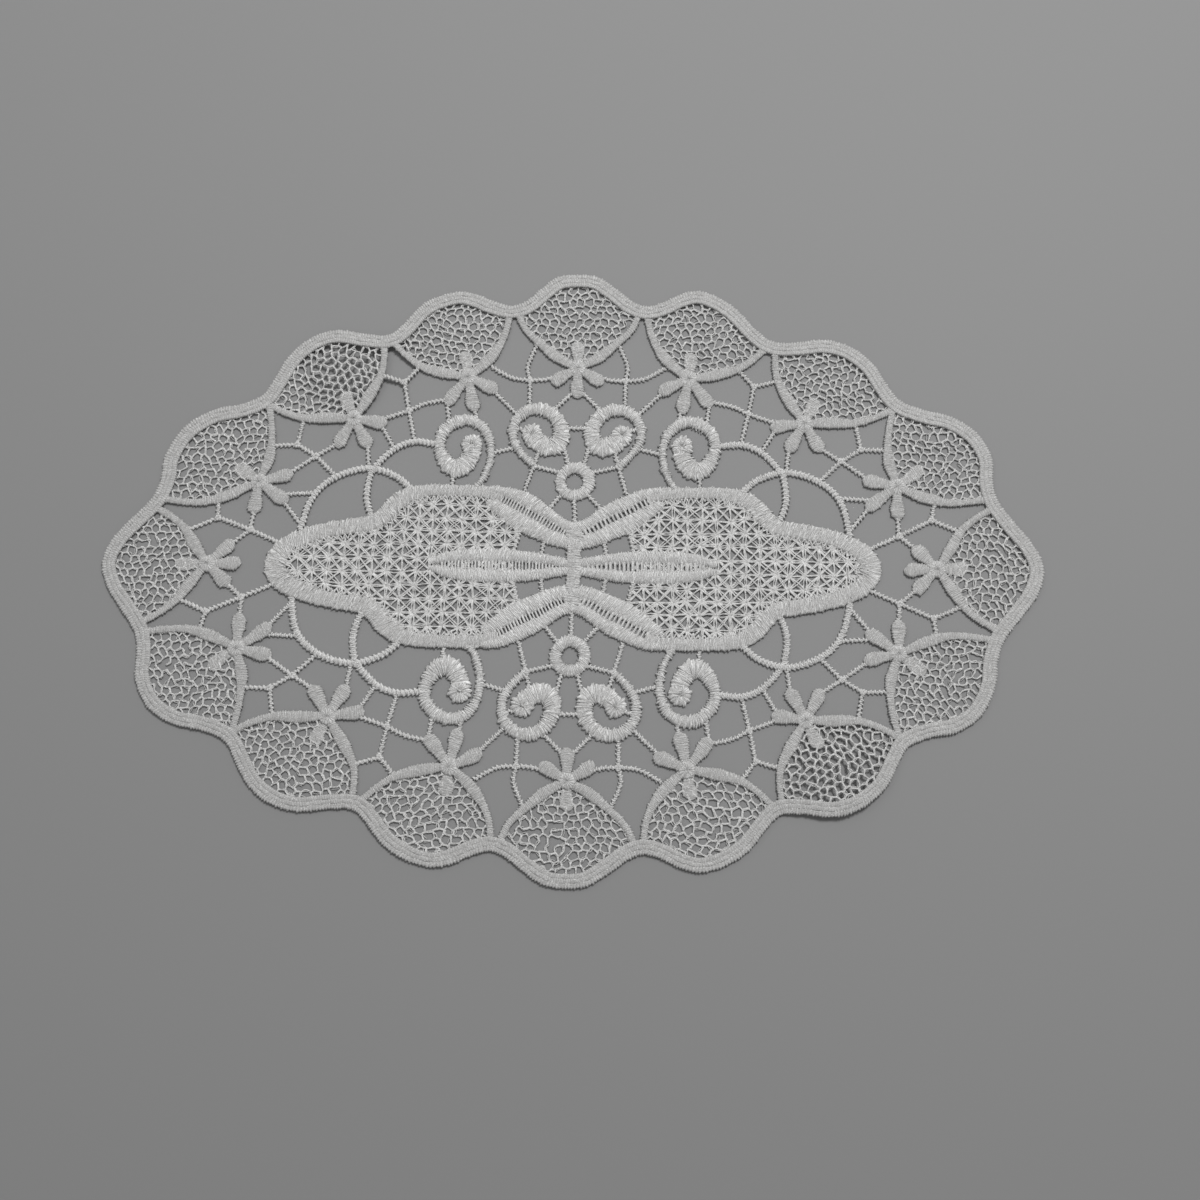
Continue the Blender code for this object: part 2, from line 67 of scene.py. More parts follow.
# Outer edge, from the top crest to the right-hand crest.
# columns: place, x, y
RIM = (
    ("crest 0", 0.0, 75.1),
    ("shoulder", 5.0, 74.4),
    ("slope", 9.8, 71.0),
    ("slope", 13.5, 68.0),
    ("notch 1", 17.1, 66.7),
    ("slope", 21.0, 67.7),
    ("shoulder", 25.5, 69.9),
    ("crest 1", 29.8, 70.9),
    ("shoulder", 34.5, 69.5),
    ("slope", 39.5, 66.1),
    ("slope", 44.2, 61.0),
    ("notch 2", 48.3, 58.1),
    ("slope", 54.0, 58.1),
    ("crest 2", 61.0, 58.9),
    ("shoulder", 67.2, 57.1),
    ("slope", 72.6, 52.7),
    ("slope", 76.3, 46.6),
    ("notch 3", 79.2, 42.6),
    ("slope", 84.5, 40.5),
    ("shoulder", 91.5, 38.9),
    ("crest 3", 97.6, 34.6),
    ("shoulder", 101.0, 28.0),
    ("slope", 101.3, 21.5),
    ("notch 4", 102.7, 16.7),
    ("slope", 106.3, 11.9),
    ("shoulder", 110.6, 6.3),
    ("crest 4", 112.7, 0.0),
)

# Inner edges of the scallops, from a notch to the flower.
# columns: name, points (x, y, width)
ARCS = (
    ("0 right",
     ((15.4, 65.0, 1.7), (13.2, 60.4, 1.7), (9.3, 56.6, 2.0), (5.4, 53.4, 2.8), (1.2, 51.0, 1.8))),
    ("1 left",
     ((17.4, 65.2, 1.7), (17.7, 61.5, 1.7), (19.2, 57.0, 1.9), (22.2, 52.6, 2.9), (26.6, 48.4, 1.8))),
    ("1 right",
     ((46.6, 56.2, 1.7), (43.4, 53.1, 1.7), (39.6, 50.4, 2.0), (34.4, 48.9, 2.9), (28.6, 47.8, 1.8))),
    ("2 left",
     ((48.9, 56.4, 1.7), (48.9, 51.5, 1.7), (49.6, 47.2, 1.9), (52.2, 42.2, 2.9), (55.0, 37.6, 1.8))),
    ("2 right",
     ((77.4, 40.4, 1.7), (73.4, 38.3, 1.7), (68.2, 36.7, 2.0), (62.6, 36.7, 2.9), (56.8, 36.5, 1.8))),
    ("3 left",
     ((77.4, 40.2, 1.7), (76.4, 35.4, 1.7), (76.0, 31.0, 1.9), (76.2, 26.6, 2.9), (77.6, 21.8, 1.8))),
    ("3 right",
     ((101.0, 17.1, 1.7), (95.6, 16.2, 1.7), (90.0, 16.1, 2.0), (84.6, 17.6, 2.9), (79.2, 20.0, 1.8))),
    ("4 left",
     ((101.0, 14.4, 1.7), (97.0, 12.0, 1.7), (93.6, 9.1, 2.0), (91.0, 5.2, 2.9), (88.0, 0.9, 1.8))),
)

# Flowers, each at the inner corner of a scallop: its middle and its free petals. The turn is that
# of the net's rows in the scallop.
# columns: name, x, y, petals (angle in degrees, length), turn in degrees
FLOWERS = (
    ("0", 0.0, 50.4, ((90, 7.0), (-31, 7.4), (-90, 7.6)), 0),
    ("1", 27.6, 47.8, ((84, 6.8), (205, 8.2), (258, 9.0), (307, 8.9)), 8),
    ("2", 55.7, 36.5, ((66, 7.3), (188, 8.2), (241, 8.3), (299, 8.2)), 17),
    ("3", 78.0, 20.6, ((37, 7.7), (168, 8.4), (216, 9.4), (270, 8.2)), 2),
    ("4", 87.2, 0.0, ((0, 7.4), (135, 7.8), (180, 7.8)), 0),
)
# columns: share of a petal's length, width
PETAL = ((0.06, 2.2), (0.35, 2.4), (0.66, 3.4), (0.86, 3.4), (1.02, 2.3))

# Scrolls, wide at the eye and thin at the tail.
# columns: name, points (x, y, width)
SCROLLS = (
    ("inner", (
        (11.0, 33.2, 4.6), (9.4, 31.2, 4.7), (6.6, 30.1, 4.7), (4.2, 31.4, 4.3), (3.8, 34.6, 3.9),
        (5.6, 38.0, 3.4), (9.2, 39.8, 3.1), (13.2, 38.8, 2.8), (15.6, 35.6, 2.4), (15.6, 31.8, 2.1),
        (13.6, 28.4, 1.8), (10.4, 25.2, 1.6))),
    ("outer", (
        (25.9, 30.4, 4.6), (26.0, 27.6, 4.5), (28.4, 24.4, 4.6), (31.5, 25.1, 4.1), (33.8, 28.8, 2.8),
        (33.6, 32.8, 2.8), (30.8, 35.8, 3.0), (27.0, 36.7, 2.8), (23.6, 35.0, 2.5), (21.5, 31.4, 2.0),
        (21.2, 26.8, 1.8), (22.4, 22.6, 1.6), (24.2, 19.6, 1.6))),
)

# Heavy cords: the long arcs between the medallion, the outer scroll and the flowers.
# columns: name, points (x, y)
HEAVY_CORDS = (
    ("scroll to crossing", ((34.8, 30.4), (40.2, 30.9), (44.6, 29.4), (47.8, 26.6), (50.4, 23.4))),
    ("crossing to medallion", ((50.4, 23.9), (51.2, 18.5), (50.8, 15.0), (49.4, 11.4))),
    ("medallion arch", (
        (40.4, 18.8), (44.4, 22.0), (50.4, 23.9), (56.4, 22.9), (61.6, 19.9), (64.8, 15.4), (66.4, 8.2))),
)

# Light cords: straight bars and short chains between the motifs.
# columns: name, points (x, y)
CORDS = (
    ("flower 0 to inner scroll", ((1.0, 44.4), (5.8, 39.6))),
    ("flower 0 to node", ((5.0, 48.2), (8.4, 47.4), (11.9, 47.2))),
    ("arc 0 to node", ((10.2, 56.6), (12.4, 51.0), (11.9, 47.2))),
    ("node to inner scroll", ((11.9, 47.2), (11.8, 40.0))),
    ("node to arc 1", ((11.9, 47.2), (16.6, 47.8), (21.8, 50.6))),
    ("flower 1 to inner scroll", ((21.0, 44.2), (15.2, 38.6))),
    ("arc 1 to node", ((40.0, 50.0), (43.6, 46.0))),
    ("node to arc 2", ((43.6, 46.0), (49.0, 47.6))),
    ("node to lower node", ((43.6, 46.0), (42.2, 38.8))),
    ("flower 1 to lower node", ((32.0, 42.0), (38.0, 40.8), (42.2, 38.8))),
    ("lower node to flower 2", ((42.2, 38.8), (49.0, 36.4))),
    ("lower node to heavy cord", ((42.2, 38.8), (40.3, 31.0))),
    ("flower 1 to outer scroll, left", ((25.6, 40.0), (25.2, 36.4))),
    ("flower 1 to outer scroll, right", ((32.8, 42.2), (31.8, 35.4))),
    ("flower 2 to heavy cord, left", ((49.0, 35.2), (45.6, 29.6))),
    ("flower 2 to heavy cord, right", ((52.0, 30.0), (51.2, 23.8))),
    ("flower 2 to crossing node", ((59.0, 30.4), (64.5, 26.9))),
    ("crossing node to flower 3", ((64.5, 26.9), (71.0, 22.4))),
    ("arch to crossing node", ((59.0, 21.6), (64.5, 26.9))),
    ("crossing node to node", ((64.5, 26.9), (69.4, 29.9))),
    ("node to arc 3", ((69.4, 29.9), (76.2, 29.8))),
    ("node to arc 2", ((69.4, 29.9), (68.3, 36.4))),
    ("flower 3 to arch, upper", ((71.0, 17.2), (63.6, 17.6))),
    ("flower 3 to arch, lower", ((71.4, 15.6), (66.4, 9.6))),
    ("flower 3 to low node", ((78.0, 14.0), (78.2, 8.3))),
    ("medallion to low node", ((70.4, 4.8), (78.2, 8.3))),
    ("low node to end node", ((78.2, 8.3), (86.3, 11.8))),
    ("low node to flower 4", ((78.2, 8.3), (82.2, 4.9))),
    ("end node to arc 3", ((86.3, 11.8), (87.2, 17.0))),
    ("end node to arc 4", ((86.3, 11.8), (93.0, 8.8))),
    ("bar between the inner scrolls", ((-3.2, 35.0), (3.2, 35.0))),
    ("ring to inner scroll", ((1.6, 24.6), (3.2, 30.6))),
    ("ring to scroll tail", ((2.0, 23.2), (10.4, 25.2))),
    ("scroll tail to scroll", ((10.4, 25.2), (9.0, 30.0))),
    ("scroll tail to leaf", ((10.4, 25.2), (12.4, 18.2))),
    ("ring to leaf, side", ((2.4, 19.0), (6.4, 14.4))),
    ("ring to leaves, middle", ((0.0, 18.4), (0.0, 10.6))),
    ("inner scroll's eye to its tail", ((12.6, 34.2), (15.2, 34.9))),
    ("scroll to scroll", ((15.2, 29.8), (21.2, 28.3))),
    ("outer scroll to medallion", ((30.2, 24.0), (30.3, 18.6))),
    ("leaf to middle leaf", ((7.2, 6.8), (7.8, 2.8))),
    ("net end", ((13.2, 8.8), (14.7, 2.6))),
)

# Satin band round the medallion, from its tip on the long axis to the top of the leaf.
# columns: x, y, width
MEDALLION = (
    (71.2, 0.0, 5.2), (69.8, 3.6, 4.8), (65.6, 6.4, 4.2), (60.0, 8.2, 4.0), (53.6, 9.4, 4.0),
    (49.1, 10.2, 4.1), (46.4, 12.2, 4.3), (43.7, 15.3, 4.4), (40.3, 17.4, 3.9), (35.0, 18.5, 3.1),
    (28.0, 18.6, 3.0), (22.0, 18.4, 3.3), (17.4, 17.6, 3.0))

# Leaves round the middle: satin halves with an open rung ladder between them.
# columns: name, points (x, y, width)
LEAVES = (
    ("slanting, upper half", (
        (21.8, 19.2, 2.2), (18.4, 18.7, 2.6), (15.0, 17.5, 3.1), (10.8, 15.4, 3.7), (6.8, 13.3, 3.3),
        (3.4, 11.0, 2.9), (-0.6, 9.2, 3.4))),
    ("slanting, lower half", (
        (21.4, 16.2, 2.6), (17.2, 13.5, 3.8), (13.4, 11.0, 4.6), (9.2, 9.0, 4.3), (5.0, 7.0, 3.7),
        (-0.6, 5.8, 3.8))),
    ("long, upper half", (
        (34.6, 0.6, 1.6), (29.0, 2.1, 3.0), (20.0, 2.5, 3.5), (10.0, 2.1, 3.0), (1.4, 0.9, 2.4))),
)
# Short band across the middle, where the leaves meet.
# columns: x, y, width
STALK = (
    (0.0, -9.8, 2.6), (0.0, -8.2, 4.6), (0.0, -5.8, 3.8), (0.0, -3.0, 3.4), (0.0, 0.0, 3.8),
    (0.0, 3.0, 3.4), (0.0, 5.8, 3.8), (0.0, 8.2, 4.6), (0.0, 9.8, 2.6))
# columns: name, first point, last point, width at the middle
LADDERS = (
    ("slanting", (2.2, 8.35), (20.4, 17.9), 1.4),
    ("long", (3.0, 0.0), (32.0, 0.0), 1.7),
)
# The rungs of the left-hand ladders are closer and thinner.
CLOSE_RUNGS = 0.75
# The open corners of the star net beside the leaves, and the place of its first knot.
STAR_NET_EDGE = ((18.6, 14.6), (13.4, 8.8), (14.5, 0.0))
STAR_NET_START = (13.3, 1.67)

RING_CENTRE = (0.0, 21.4)
RING_OUTER = 4.95
RING_INNER = 2.0
EYE_WIDTH = 5.3
EYE_HOLE = 0.1
HEART_WIDTH = 4.2
KNOT_WIDTH = 1.7
DISC_HOLE = 0.05
# Lengths over which a row's end is rounded.
PETAL_ROUND = 1.3
SCROLL_ROUND = 1.2
LEAF_ROUND = 1.5

# How the lace lies: soft shifts of the cloth along x and y, and low lifts off the table.
# columns: place, x, y, reach, shift x, shift y, lift
LIE = (
    ("upper left drawn in", -62.0, 46.0, 62.0, 1.3, -0.1, 0.0),
    ("lower left pushed out", -84.0, -40.0, 66.0, -1.9, -0.4, 0.0),
    ("lower right drawn in", 80.0, -42.0, 50.0, -1.0, 0.6, 0.0),
    ("upper right", 70.0, 40.0, 55.0, 0.3, 0.1, 0.0),
    ("foot of the oval", 0.0, -45.0, 48.0, -0.5, -0.6, 0.0),
    ("head of the oval", 0.0, 30.0, 50.0, 0.3, -0.3, 0.0),
    ("left end, low", -102.0, 14.0, 30.0, -0.5, -1.0, 0.0),
    ("right end, high", 102.0, 14.0, 30.0, -0.3, 1.1, 0.0),
    ("third scallop, upper left, raised", -55.0, 51.0, 19.0, 0.0, 0.0, 1.3),
    ("third scallop, lower right, raised", 63.0, -51.0, 19.0, 0.0, 0.0, 1.2),
    ("third scallop, lower right", 66.0, -52.0, 17.0, 1.0, 0.3, 0.0),
    ("second scallop, lower left", -39.0, -65.0, 19.0, -2.1, 0.0, 0.0),
    ("third scallop, lower left", -66.0, -56.0, 18.0, -0.7, 0.3, 0.0),
    ("second scallop, lower right", 41.0, -63.0, 18.0, 1.7, -0.3, 0.0),
    ("fourth scallop, lower right", 100.0, -29.0, 12.0, -0.8, 0.0, 0.0),
    ("notch, lower right", 14.0, -68.0, 12.0, 0.5, -0.5, 0.0),
    ("notch, lower left", -13.0, -69.0, 12.0, -0.3, -0.45, 0.0),
    ("fourth scallop, upper left", -92.0, 33.0, 30.0, 1.0, -0.8, 0.0),
    ("second scallop, upper left", -34.0, 67.0, 20.0, -1.15, -0.3, 0.0),
    ("notch, upper left", -13.0, 68.0, 9.0, 0.35, -0.3, 0.0),
    ("third scallop, upper right", 59.0, 56.0, 24.0, 0.1, -0.75, 0.0),
    ("fourth scallop, upper right", 95.0, 32.0, 20.0, 0.55, -0.65, 0.0),
    ("slanting leaf, upper left", -11.0, 18.0, 7.0, 0.0, 0.8, 0.0),
    ("right end scallop", 107.0, 11.0, 14.0, -0.3, -0.45, 0.0),
    ("crest at the top", 0.0, 74.0, 12.0, 0.0, -0.15, 0.0),
    ("notch, right", 76.0, -46.0, 14.0, 0.7, -0.25, 0.0),
    ("second crest, lower right", 32.0, -69.0, 22.0, 0.2, -0.3, 0.0),
    ("second crest, lower left", -40.0, -67.0, 16.0, -0.35, -0.25, 0.0),
    ("fourth scallop, lower left", -103.0, -24.0, 26.0, -0.4, -0.2, 0.0),
    ("second crest, upper left", -31.0, 70.0, 8.0, 0.3, -0.6, 0.0),
    ("third crest, upper left", -62.0, 58.0, 15.0, -0.2, 0.35, 0.0),
    ("upper ring", 0.0, 19.5, 8.0, -0.45, 0.0, 0.0),
    ("notch, left, low", -86.0, -42.0, 15.0, 0.2, 0.35, 0.0),
)
# The lines above are given as if they lay on the table. The thread lies higher, so each point is
# drawn in by this share towards the foot of the eye.
EYE_FOOT = (10.0, -64.0)
DRAWN_IN = 0.0034

# Heights of the parts above the table.
CORD_TOP = 0.72
HEAVY_CORD_TOP = 0.92
KNOT_TOP = 0.82
ARC_TOP = 0.86
BAND_TOP = 0.92
PETAL_TOP = 0.9
LOW_PETAL_TOP = 0.54
HEART_TOP = 1.05
RIM_TOP = 1.0
LEAF_TOP = 1.05
STALK_TOP = LEAF_TOP * 0.96
RING_TOP = 1.05
SCROLL_TOP = 1.15
EYE_TOP = 1.2

# Cross-sections of a stitch, as shares of half the width and of the height, from right to left.
FLAT = ((-1.0, 0.4), (-0.95, 0.8), (-0.72, 0.97), (0.0, 1.0), (0.72, 0.97), (0.95, 0.8), (1.0, 0.4),
        (0.6, 0.0), (-0.6, 0.0))
ROUND = ((-1.0, 0.3), (-0.86, 0.62), (-0.5, 0.9), (0.0, 1.0), (0.5, 0.9), (0.86, 0.62), (1.0, 0.3),
         (0.6, 0.0), (-0.6, 0.0))
WIDE = ((-1.0, 0.6), (-0.82, 0.92), (-0.4, 0.99), (0.4, 0.99), (0.82, 0.92), (1.0, 0.6), (0.5, 0.0),
        (-0.5, 0.0))
NARROW = ((-1.0, 0.45), (-0.76, 0.9), (0.0, 1.0), (0.76, 0.9), (1.0, 0.45), (0.5, 0.0), (-0.5, 0.0))
DOMED = ((-1.0, 0.3), (-0.9, 0.75), (-0.5, 0.96), (0.3, 1.0), (1.0, 0.98), (1.0, 0.0), (-0.6, 0.0))


class Stitch(NamedTuple):
    """How one kind of row is sewn, in mm."""

    section: tuple
    spacing: str
    drop: float
    tooth: float
    rag: float
    uneven: float
    slant: float
    sway: float
    zigzag: bool
    blunt: bool
    shine: float


# columns: kind, section, the size that holds its spacing, drop between stitches, tooth of the
# edges, ragged ends, uneven tops, slant, uneven slant, zig-zag, blunt ends, shine
# Shine sets a row's share of the painted glint, and also its gloss, its relief and how dull its colour
# is.
STITCHES = {
    "rim edge": Stitch(WIDE, "edge_spacing", 0.04, 0.32, 0.14, 0.03, 0.15, 0.12, False, True, 1.0),
    "rim": Stitch(WIDE, "rim_spacing", 0.025, 0.1, 0.12, 0.04, 0.15, 0.12, False, False, 1.0),
    "band": Stitch(FLAT, "band_spacing", 0.09, 0.26, 0.2, 0.06, 0.12, 0.18, False, False, 0.35),
    "wide band": Stitch(FLAT, "band_spacing", 0.06, 0.24, 0.34, 0.07, 0.12, 0.28, False, False, 0.65),
    "disc": Stitch(DOMED, "band_spacing", 0.05, 0.24, 0.16, 0.05, 0.0, 0.14, False, False, 0.65),
    "scroll": Stitch(ROUND, "scroll_spacing", 0.12, 0.42, 0.3, 0.12, 0.0, 0.26, False, True, 1.0),
    "ring": Stitch(ROUND, "band_spacing", 0.09, 0.34, 0.28, 0.12, 0.2, 0.34, False, False, 0.9),
    "leaf": Stitch(ROUND, "scroll_spacing", 0.1, 0.34, 0.26, 0.1, 0.25, 0.24, False, False, 1.0),
    "cord": Stitch(NARROW, "cord_spacing", 0.26, 0.36, 0.1, 0.07, 0.4, 0.12, True, True, 0.8),
    "heavy cord": Stitch(NARROW, "cord_spacing", 0.24, 0.36, 0.12, 0.08, 0.35, 0.12, True, True, 0.8),
}

# Where the rings of points lie in a stitch, as shares of its spacing. The first is its valley.
POINTED = (0.0, 0.5)
BLUNT = (0.0, 0.28, 0.72)

# The rim's rows, from the edge in.
# columns: kind, rows in from the edge, extra width, share of the height, lean
RIM_ROWS = (
    ("rim edge", 0.65, 0.3, 0.97, 1.0),
    ("rim", 1.63, 0.3, 1.0, -1.0),
    ("rim", 2.6, 0.3, 0.98, 1.0),
)
BAND_LEAN = 2.0

# What all stitches share: the height of their underside, the roughness of their upper side, how far
# they stray as a share of their spacing, and how far apart the rows' fibres are counted.
FOOT = 0.03
ROUGH = 0.02
STRAY = 0.1
FIBRE_STEP = 37.0
# Slow rise and fall of a row.
# columns: share of its height, radians a mm, radians a seed
WAVES = ((0.04, 0.7, 1.0), (0.03, 1.9, 2.3))
# A rounded end: the least square of its share of the width, and how much lower it is.
END_LEAST = 0.06
END_DROP = 0.35
# Least and most of the drop between stitches, and the share of it that the underside rises.
DIPS = (0.55, 1.35)
DIP_FOOT = 0.45

# A thread of a net: its stations, the share of its thickness at its tips, how many radii it runs
# past its ends, its least and most thickness, and the shortest length that is reckoned with.
THREAD_PLACES = (0.0, 0.12, 0.5, 0.88, 1.0)
THREAD_TIP = 0.4
THREAD_PAST = 0.8
THREAD_UNEVEN = (0.8, 1.25)
SHORTEST = 0.05
# Places tried along a thread that an outline may cut, and the fewest steps of it that stay.
CUT_SAMPLES = 16
CUT_LEAST = 6

# Net of the scallops: how far its knots stray and drift as shares of a cell, the drift's pace, its
# knots' heights and the share of its threads that is missing.
NET_STRAY = 0.11
NET_DRIFT = 0.17
NET_PACE = (0.9, 0.8)
NET_HEIGHTS = (0.28, 0.5)
NET_MISSING = 0.02
# The loose threads beside the main one.
# columns: first and last of the chosen threads, thickness, distance aside
NET_STRANDS = ((0.0, 0.85, 0.66, 0.36), (0.5, 1.0, 0.52, 0.6))

# Star net: how far its knots stray, and their heights.
STAR_STRAY = 0.2
STAR_HEIGHTS = (0.34, 0.56)
# The threads side by side between two knots.
# columns: first and last of the chosen threads, thickness, bulge, sag, distance aside
STAR_STRANDS = (
    (0.0, 1.0, 0.74, 0.2, 0.06, 0.2),
    (0.1, 1.0, 0.68, -0.22, -0.04, 0.26),
    (0.0, 0.7, 0.6, 0.0, -0.1, 0.42),
)
# Its zig-zag fringe: spacing, reach, and the heights at the band and at the net.
FRINGE_PITCH = 1.3
FRINGE_REACH = 1.3
FRINGE_FOOT = 0.7
FRINGE_TIP = 0.5

# Rungs: half their thickness, their height, and how far they run into the leaves.
RUNG_RADIUS = 0.34
RUNG_TOP = 0.6
RUNG_PAST = 0.7

# First random seed of each kind of row or thread. The rows of a kind count on from it.
SEEDS = {
    "rim": 11, "arc": 100, "heart": 200, "petal": 300, "scroll": 600, "eye": 620, "ring": 650,
    "medallion": 700, "leaf": 720, "stalk": 740, "rung": 760, "star": 780, "fringe": 786,
    "star choice": 790, "net": 800, "heavy cord": 900, "cord": 1100, "knot": 1400,
}

FINE_STEP = 0.25
RING_POINTS = 48
QUARTERS = ((1, 1), (-1, 1), (-1, -1), (1, -1))


# ---------------------------------------------------------------- lines of the design

def smooth(rows, step=FINE_STEP, closed=False):
    """Close-set points on a smooth line through the rows, with their other columns."""
    rows = np.array([[float(v) for v in row] for row in rows])
    if len(rows) == 2:
        rows = np.array([rows[0], rows.mean(axis=0), rows[1]])
    if closed:
        ends = np.vstack([rows[-1], rows, rows[0], rows[1]])
    else:
        ends = np.vstack([2 * rows[0] - rows[1], rows, 2 * rows[-1] - rows[-2]])
    out = []
    for p0, p1, p2, p3 in zip(ends, ends[1:], ends[2:], ends[3:]):
        count = max(2, int(math.dist(p1[:2], p2[:2]) / step))
        t = np.arange(count)[:, None] / count
        out.append(0.5 * (2 * p1 + (p2 - p0) * t + (2 * p0 - 5 * p1 + 4 * p2 - p3) * t ** 2
                          + (3 * p1 - p0 - 3 * p2 + p3) * t ** 3))
    if not closed:
        out.append(rows[-1:])
    return np.vstack(out)


def left_of(line, closed=False):
    """Unit vectors along a line and to the left of it."""
    if closed:
        along = np.roll(line, -1, axis=0)[:, :2] - np.roll(line, 1, axis=0)[:, :2]
    else:
        along = np.gradient(line[:, :2], axis=0)
    along = along / np.linalg.norm(along, axis=1)[:, None]
    return along, np.stack([-along[:, 1], along[:, 0]], axis=1)


def offset(line, distance, closed=False):
    """The line moved to its left."""
    return line[:, :2] + left_of(line, closed)[1] * distance


def mirrored(rows, quarter):
    """The rows in another quarter of the oval."""
    rows = np.array(rows, float)
    rows[:, 0] *= quarter[0]
    rows[:, 1] *= quarter[1]
    return rows


def in_all_quarters(rows):
    """The rows in each quarter, but only once where a mirrored copy lies on another."""
    seen = []
    for quarter in QUARTERS:
        copy = mirrored(rows, quarter)
        ends = sorted([tuple(np.round(copy[0, :2], 2) + 0.0), tuple(np.round(copy[-1, :2], 2) + 0.0)])
        if ends not in seen:
            seen.append(ends)
            yield quarter, copy


def copies(table):
    """A table's rows of points in each quarter, each with a number of its own and its quarter."""
    for number, (_, rows) in enumerate(table):
        for turn, (quarter, copy) in enumerate(in_all_quarters(rows)):
            yield 4 * number + turn, quarter, copy


def rim_line():
    """The whole outer edge, once round."""
    quarter = np.array([row[1:] for row in RIM])
    right = np.vstack([quarter, mirrored(quarter, (1, -1))[::-1][1:]])
    left = mirrored(right, (-1, 1))[::-1][1:-1]
    return smooth(np.vstack([right, left]), closed=True)


def lie(points):
    """Where points of the even design come to lie in the cloth, in mm."""
    moved = points.copy()
    moved[:, :2] -= (points[:, :2] - np.array(EYE_FOOT)) * DRAWN_IN
    for _, x, y, reach, along, across, lift in LIE:
        far = np.hypot(points[:, 0] - x, points[:, 1] - y) / reach
        share = np.where(far < 1, (1 - np.minimum(far, 1) ** 2) ** 2, 0)
        moved += share[:, None] * np.array([along, across, lift])
    return moved


def middle_of_oval():
    """The middle of the laid rim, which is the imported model's own middle."""
    edge = lie(np.pad(rim_line(), ((0, 0), (0, 1))))
    low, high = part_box(NODE)
    packed = np.array([(low.x + high.x) / 2, (low.y + high.y) / 2]) / MM
    return np.append((edge.min(axis=0) + edge.max(axis=0))[:2] / 2 - packed, 0.0)


MIDDLE = middle_of_oval()


# ---------------------------------------------------------------- thread

class Sewing:
    """Rings of points, gathered from many stitches and threads, that become one piece."""

    def __init__(self):
        self.points = []
        self.faces = []
        self.thread = []
        self.caps = []
        self.cap_thread = []
        self.valleys = []
        self.shine = []
        self.count = 0
        self.rings = 0

    def add(self, points, thread, valleys, once_round=0, shine=1.0):
        """Runs by rings by points by xyz, their place on the thread, and which rings are valleys.

        A row that closes on itself gives the number of its stitches as once_round; others get caps.
        """
        runs, rings, sides = points.shape[:3]
        number = self.count + np.arange(runs * rings * sides).reshape(runs, rings, sides)
        if once_round:
            number = np.concatenate([number, number[:, :1]], axis=1)
            thread = np.concatenate([thread, thread[:, :1] + np.array([once_round, 0.0])], axis=1)
        else:
            self.caps += number[:, 0].tolist() + number[:, -1, ::-1].tolist()
            self.cap_thread += [thread[:, 0].reshape(-1, 2), thread[:, -1, ::-1].reshape(-1, 2)]
        for grid, out, width in ((number[..., None], self.faces, 1), (thread, self.thread, 2)):
            turned = np.roll(grid, -1, axis=2)
            corners = np.stack([grid[:, :-1], grid[:, 1:], turned[:, 1:], turned[:, :-1]], axis=3)
            out.append(corners.reshape(-1, 4 if width == 1 else 2))
        marks = np.where(valleys, self.rings + np.arange(rings), -1)
        self.points.append(points.reshape(-1, 3))
        self.valleys.append(np.tile(np.repeat(marks, sides), runs))
        self.shine.append(np.full(runs * rings * sides, shine, np.float32))
        self.count += runs * rings * sides
        self.rings += rings

    def piece(self, name, material):
        """One smooth mesh, creased between its stitches, laid down in the cloth's place."""
        places = (lie(np.vstack(self.points)) - MIDDLE) * MM
        mesh = bpy.data.meshes.new(name)
        mesh.from_pydata(places.tolist(), [], np.vstack(self.faces).tolist() + self.caps)
        mesh.shade_smooth()
        layer = mesh.uv_layers.new(name="thread")
        thread = np.vstack(self.thread + self.cap_thread)
        layer.data.foreach_set("uv", thread.astype(np.float32).ravel())
        ends = np.empty(len(mesh.edges) * 2, np.int32)
        mesh.edges.foreach_get("vertices", ends)
        mark = np.concatenate(self.valleys)[ends.reshape(-1, 2)]
        crease = (mark[:, 0] >= 0) & (mark[:, 0] == mark[:, 1])
        sharp = mesh.attributes.new("sharp_edge", "BOOLEAN", "EDGE")
        sharp.data.foreach_set("value", crease)
        # Shine scales the painted glint in the base colour, and the thread's gloss and relief.
        shine = mesh.attributes.new("shine", "FLOAT", "POINT")
        shine.data.foreach_set("value", np.concatenate(self.shine))
        mesh.materials.append(material)
        obj = bpy.data.objects.new(name, mesh)
        bpy.context.scene.collection.objects.link(obj)
        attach(obj, "root")
        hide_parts(NODE)
        obj["lace"] = True
        return obj


def stations(line, shares, closed=False):
    """The places at shares of a line's length, with its other columns there, and its length."""
    if closed:
        line = np.vstack([line, line[:1]])
    steps = np.linalg.norm(np.diff(line[:, :2], axis=0), axis=1)
    along = np.concatenate([[0.0], np.cumsum(steps)])
    places = shares * along[-1]
    columns = [np.interp(places, along, line[:, k]) for k in range(line.shape[1])]
    return np.stack(columns, axis=1), places, along[-1]


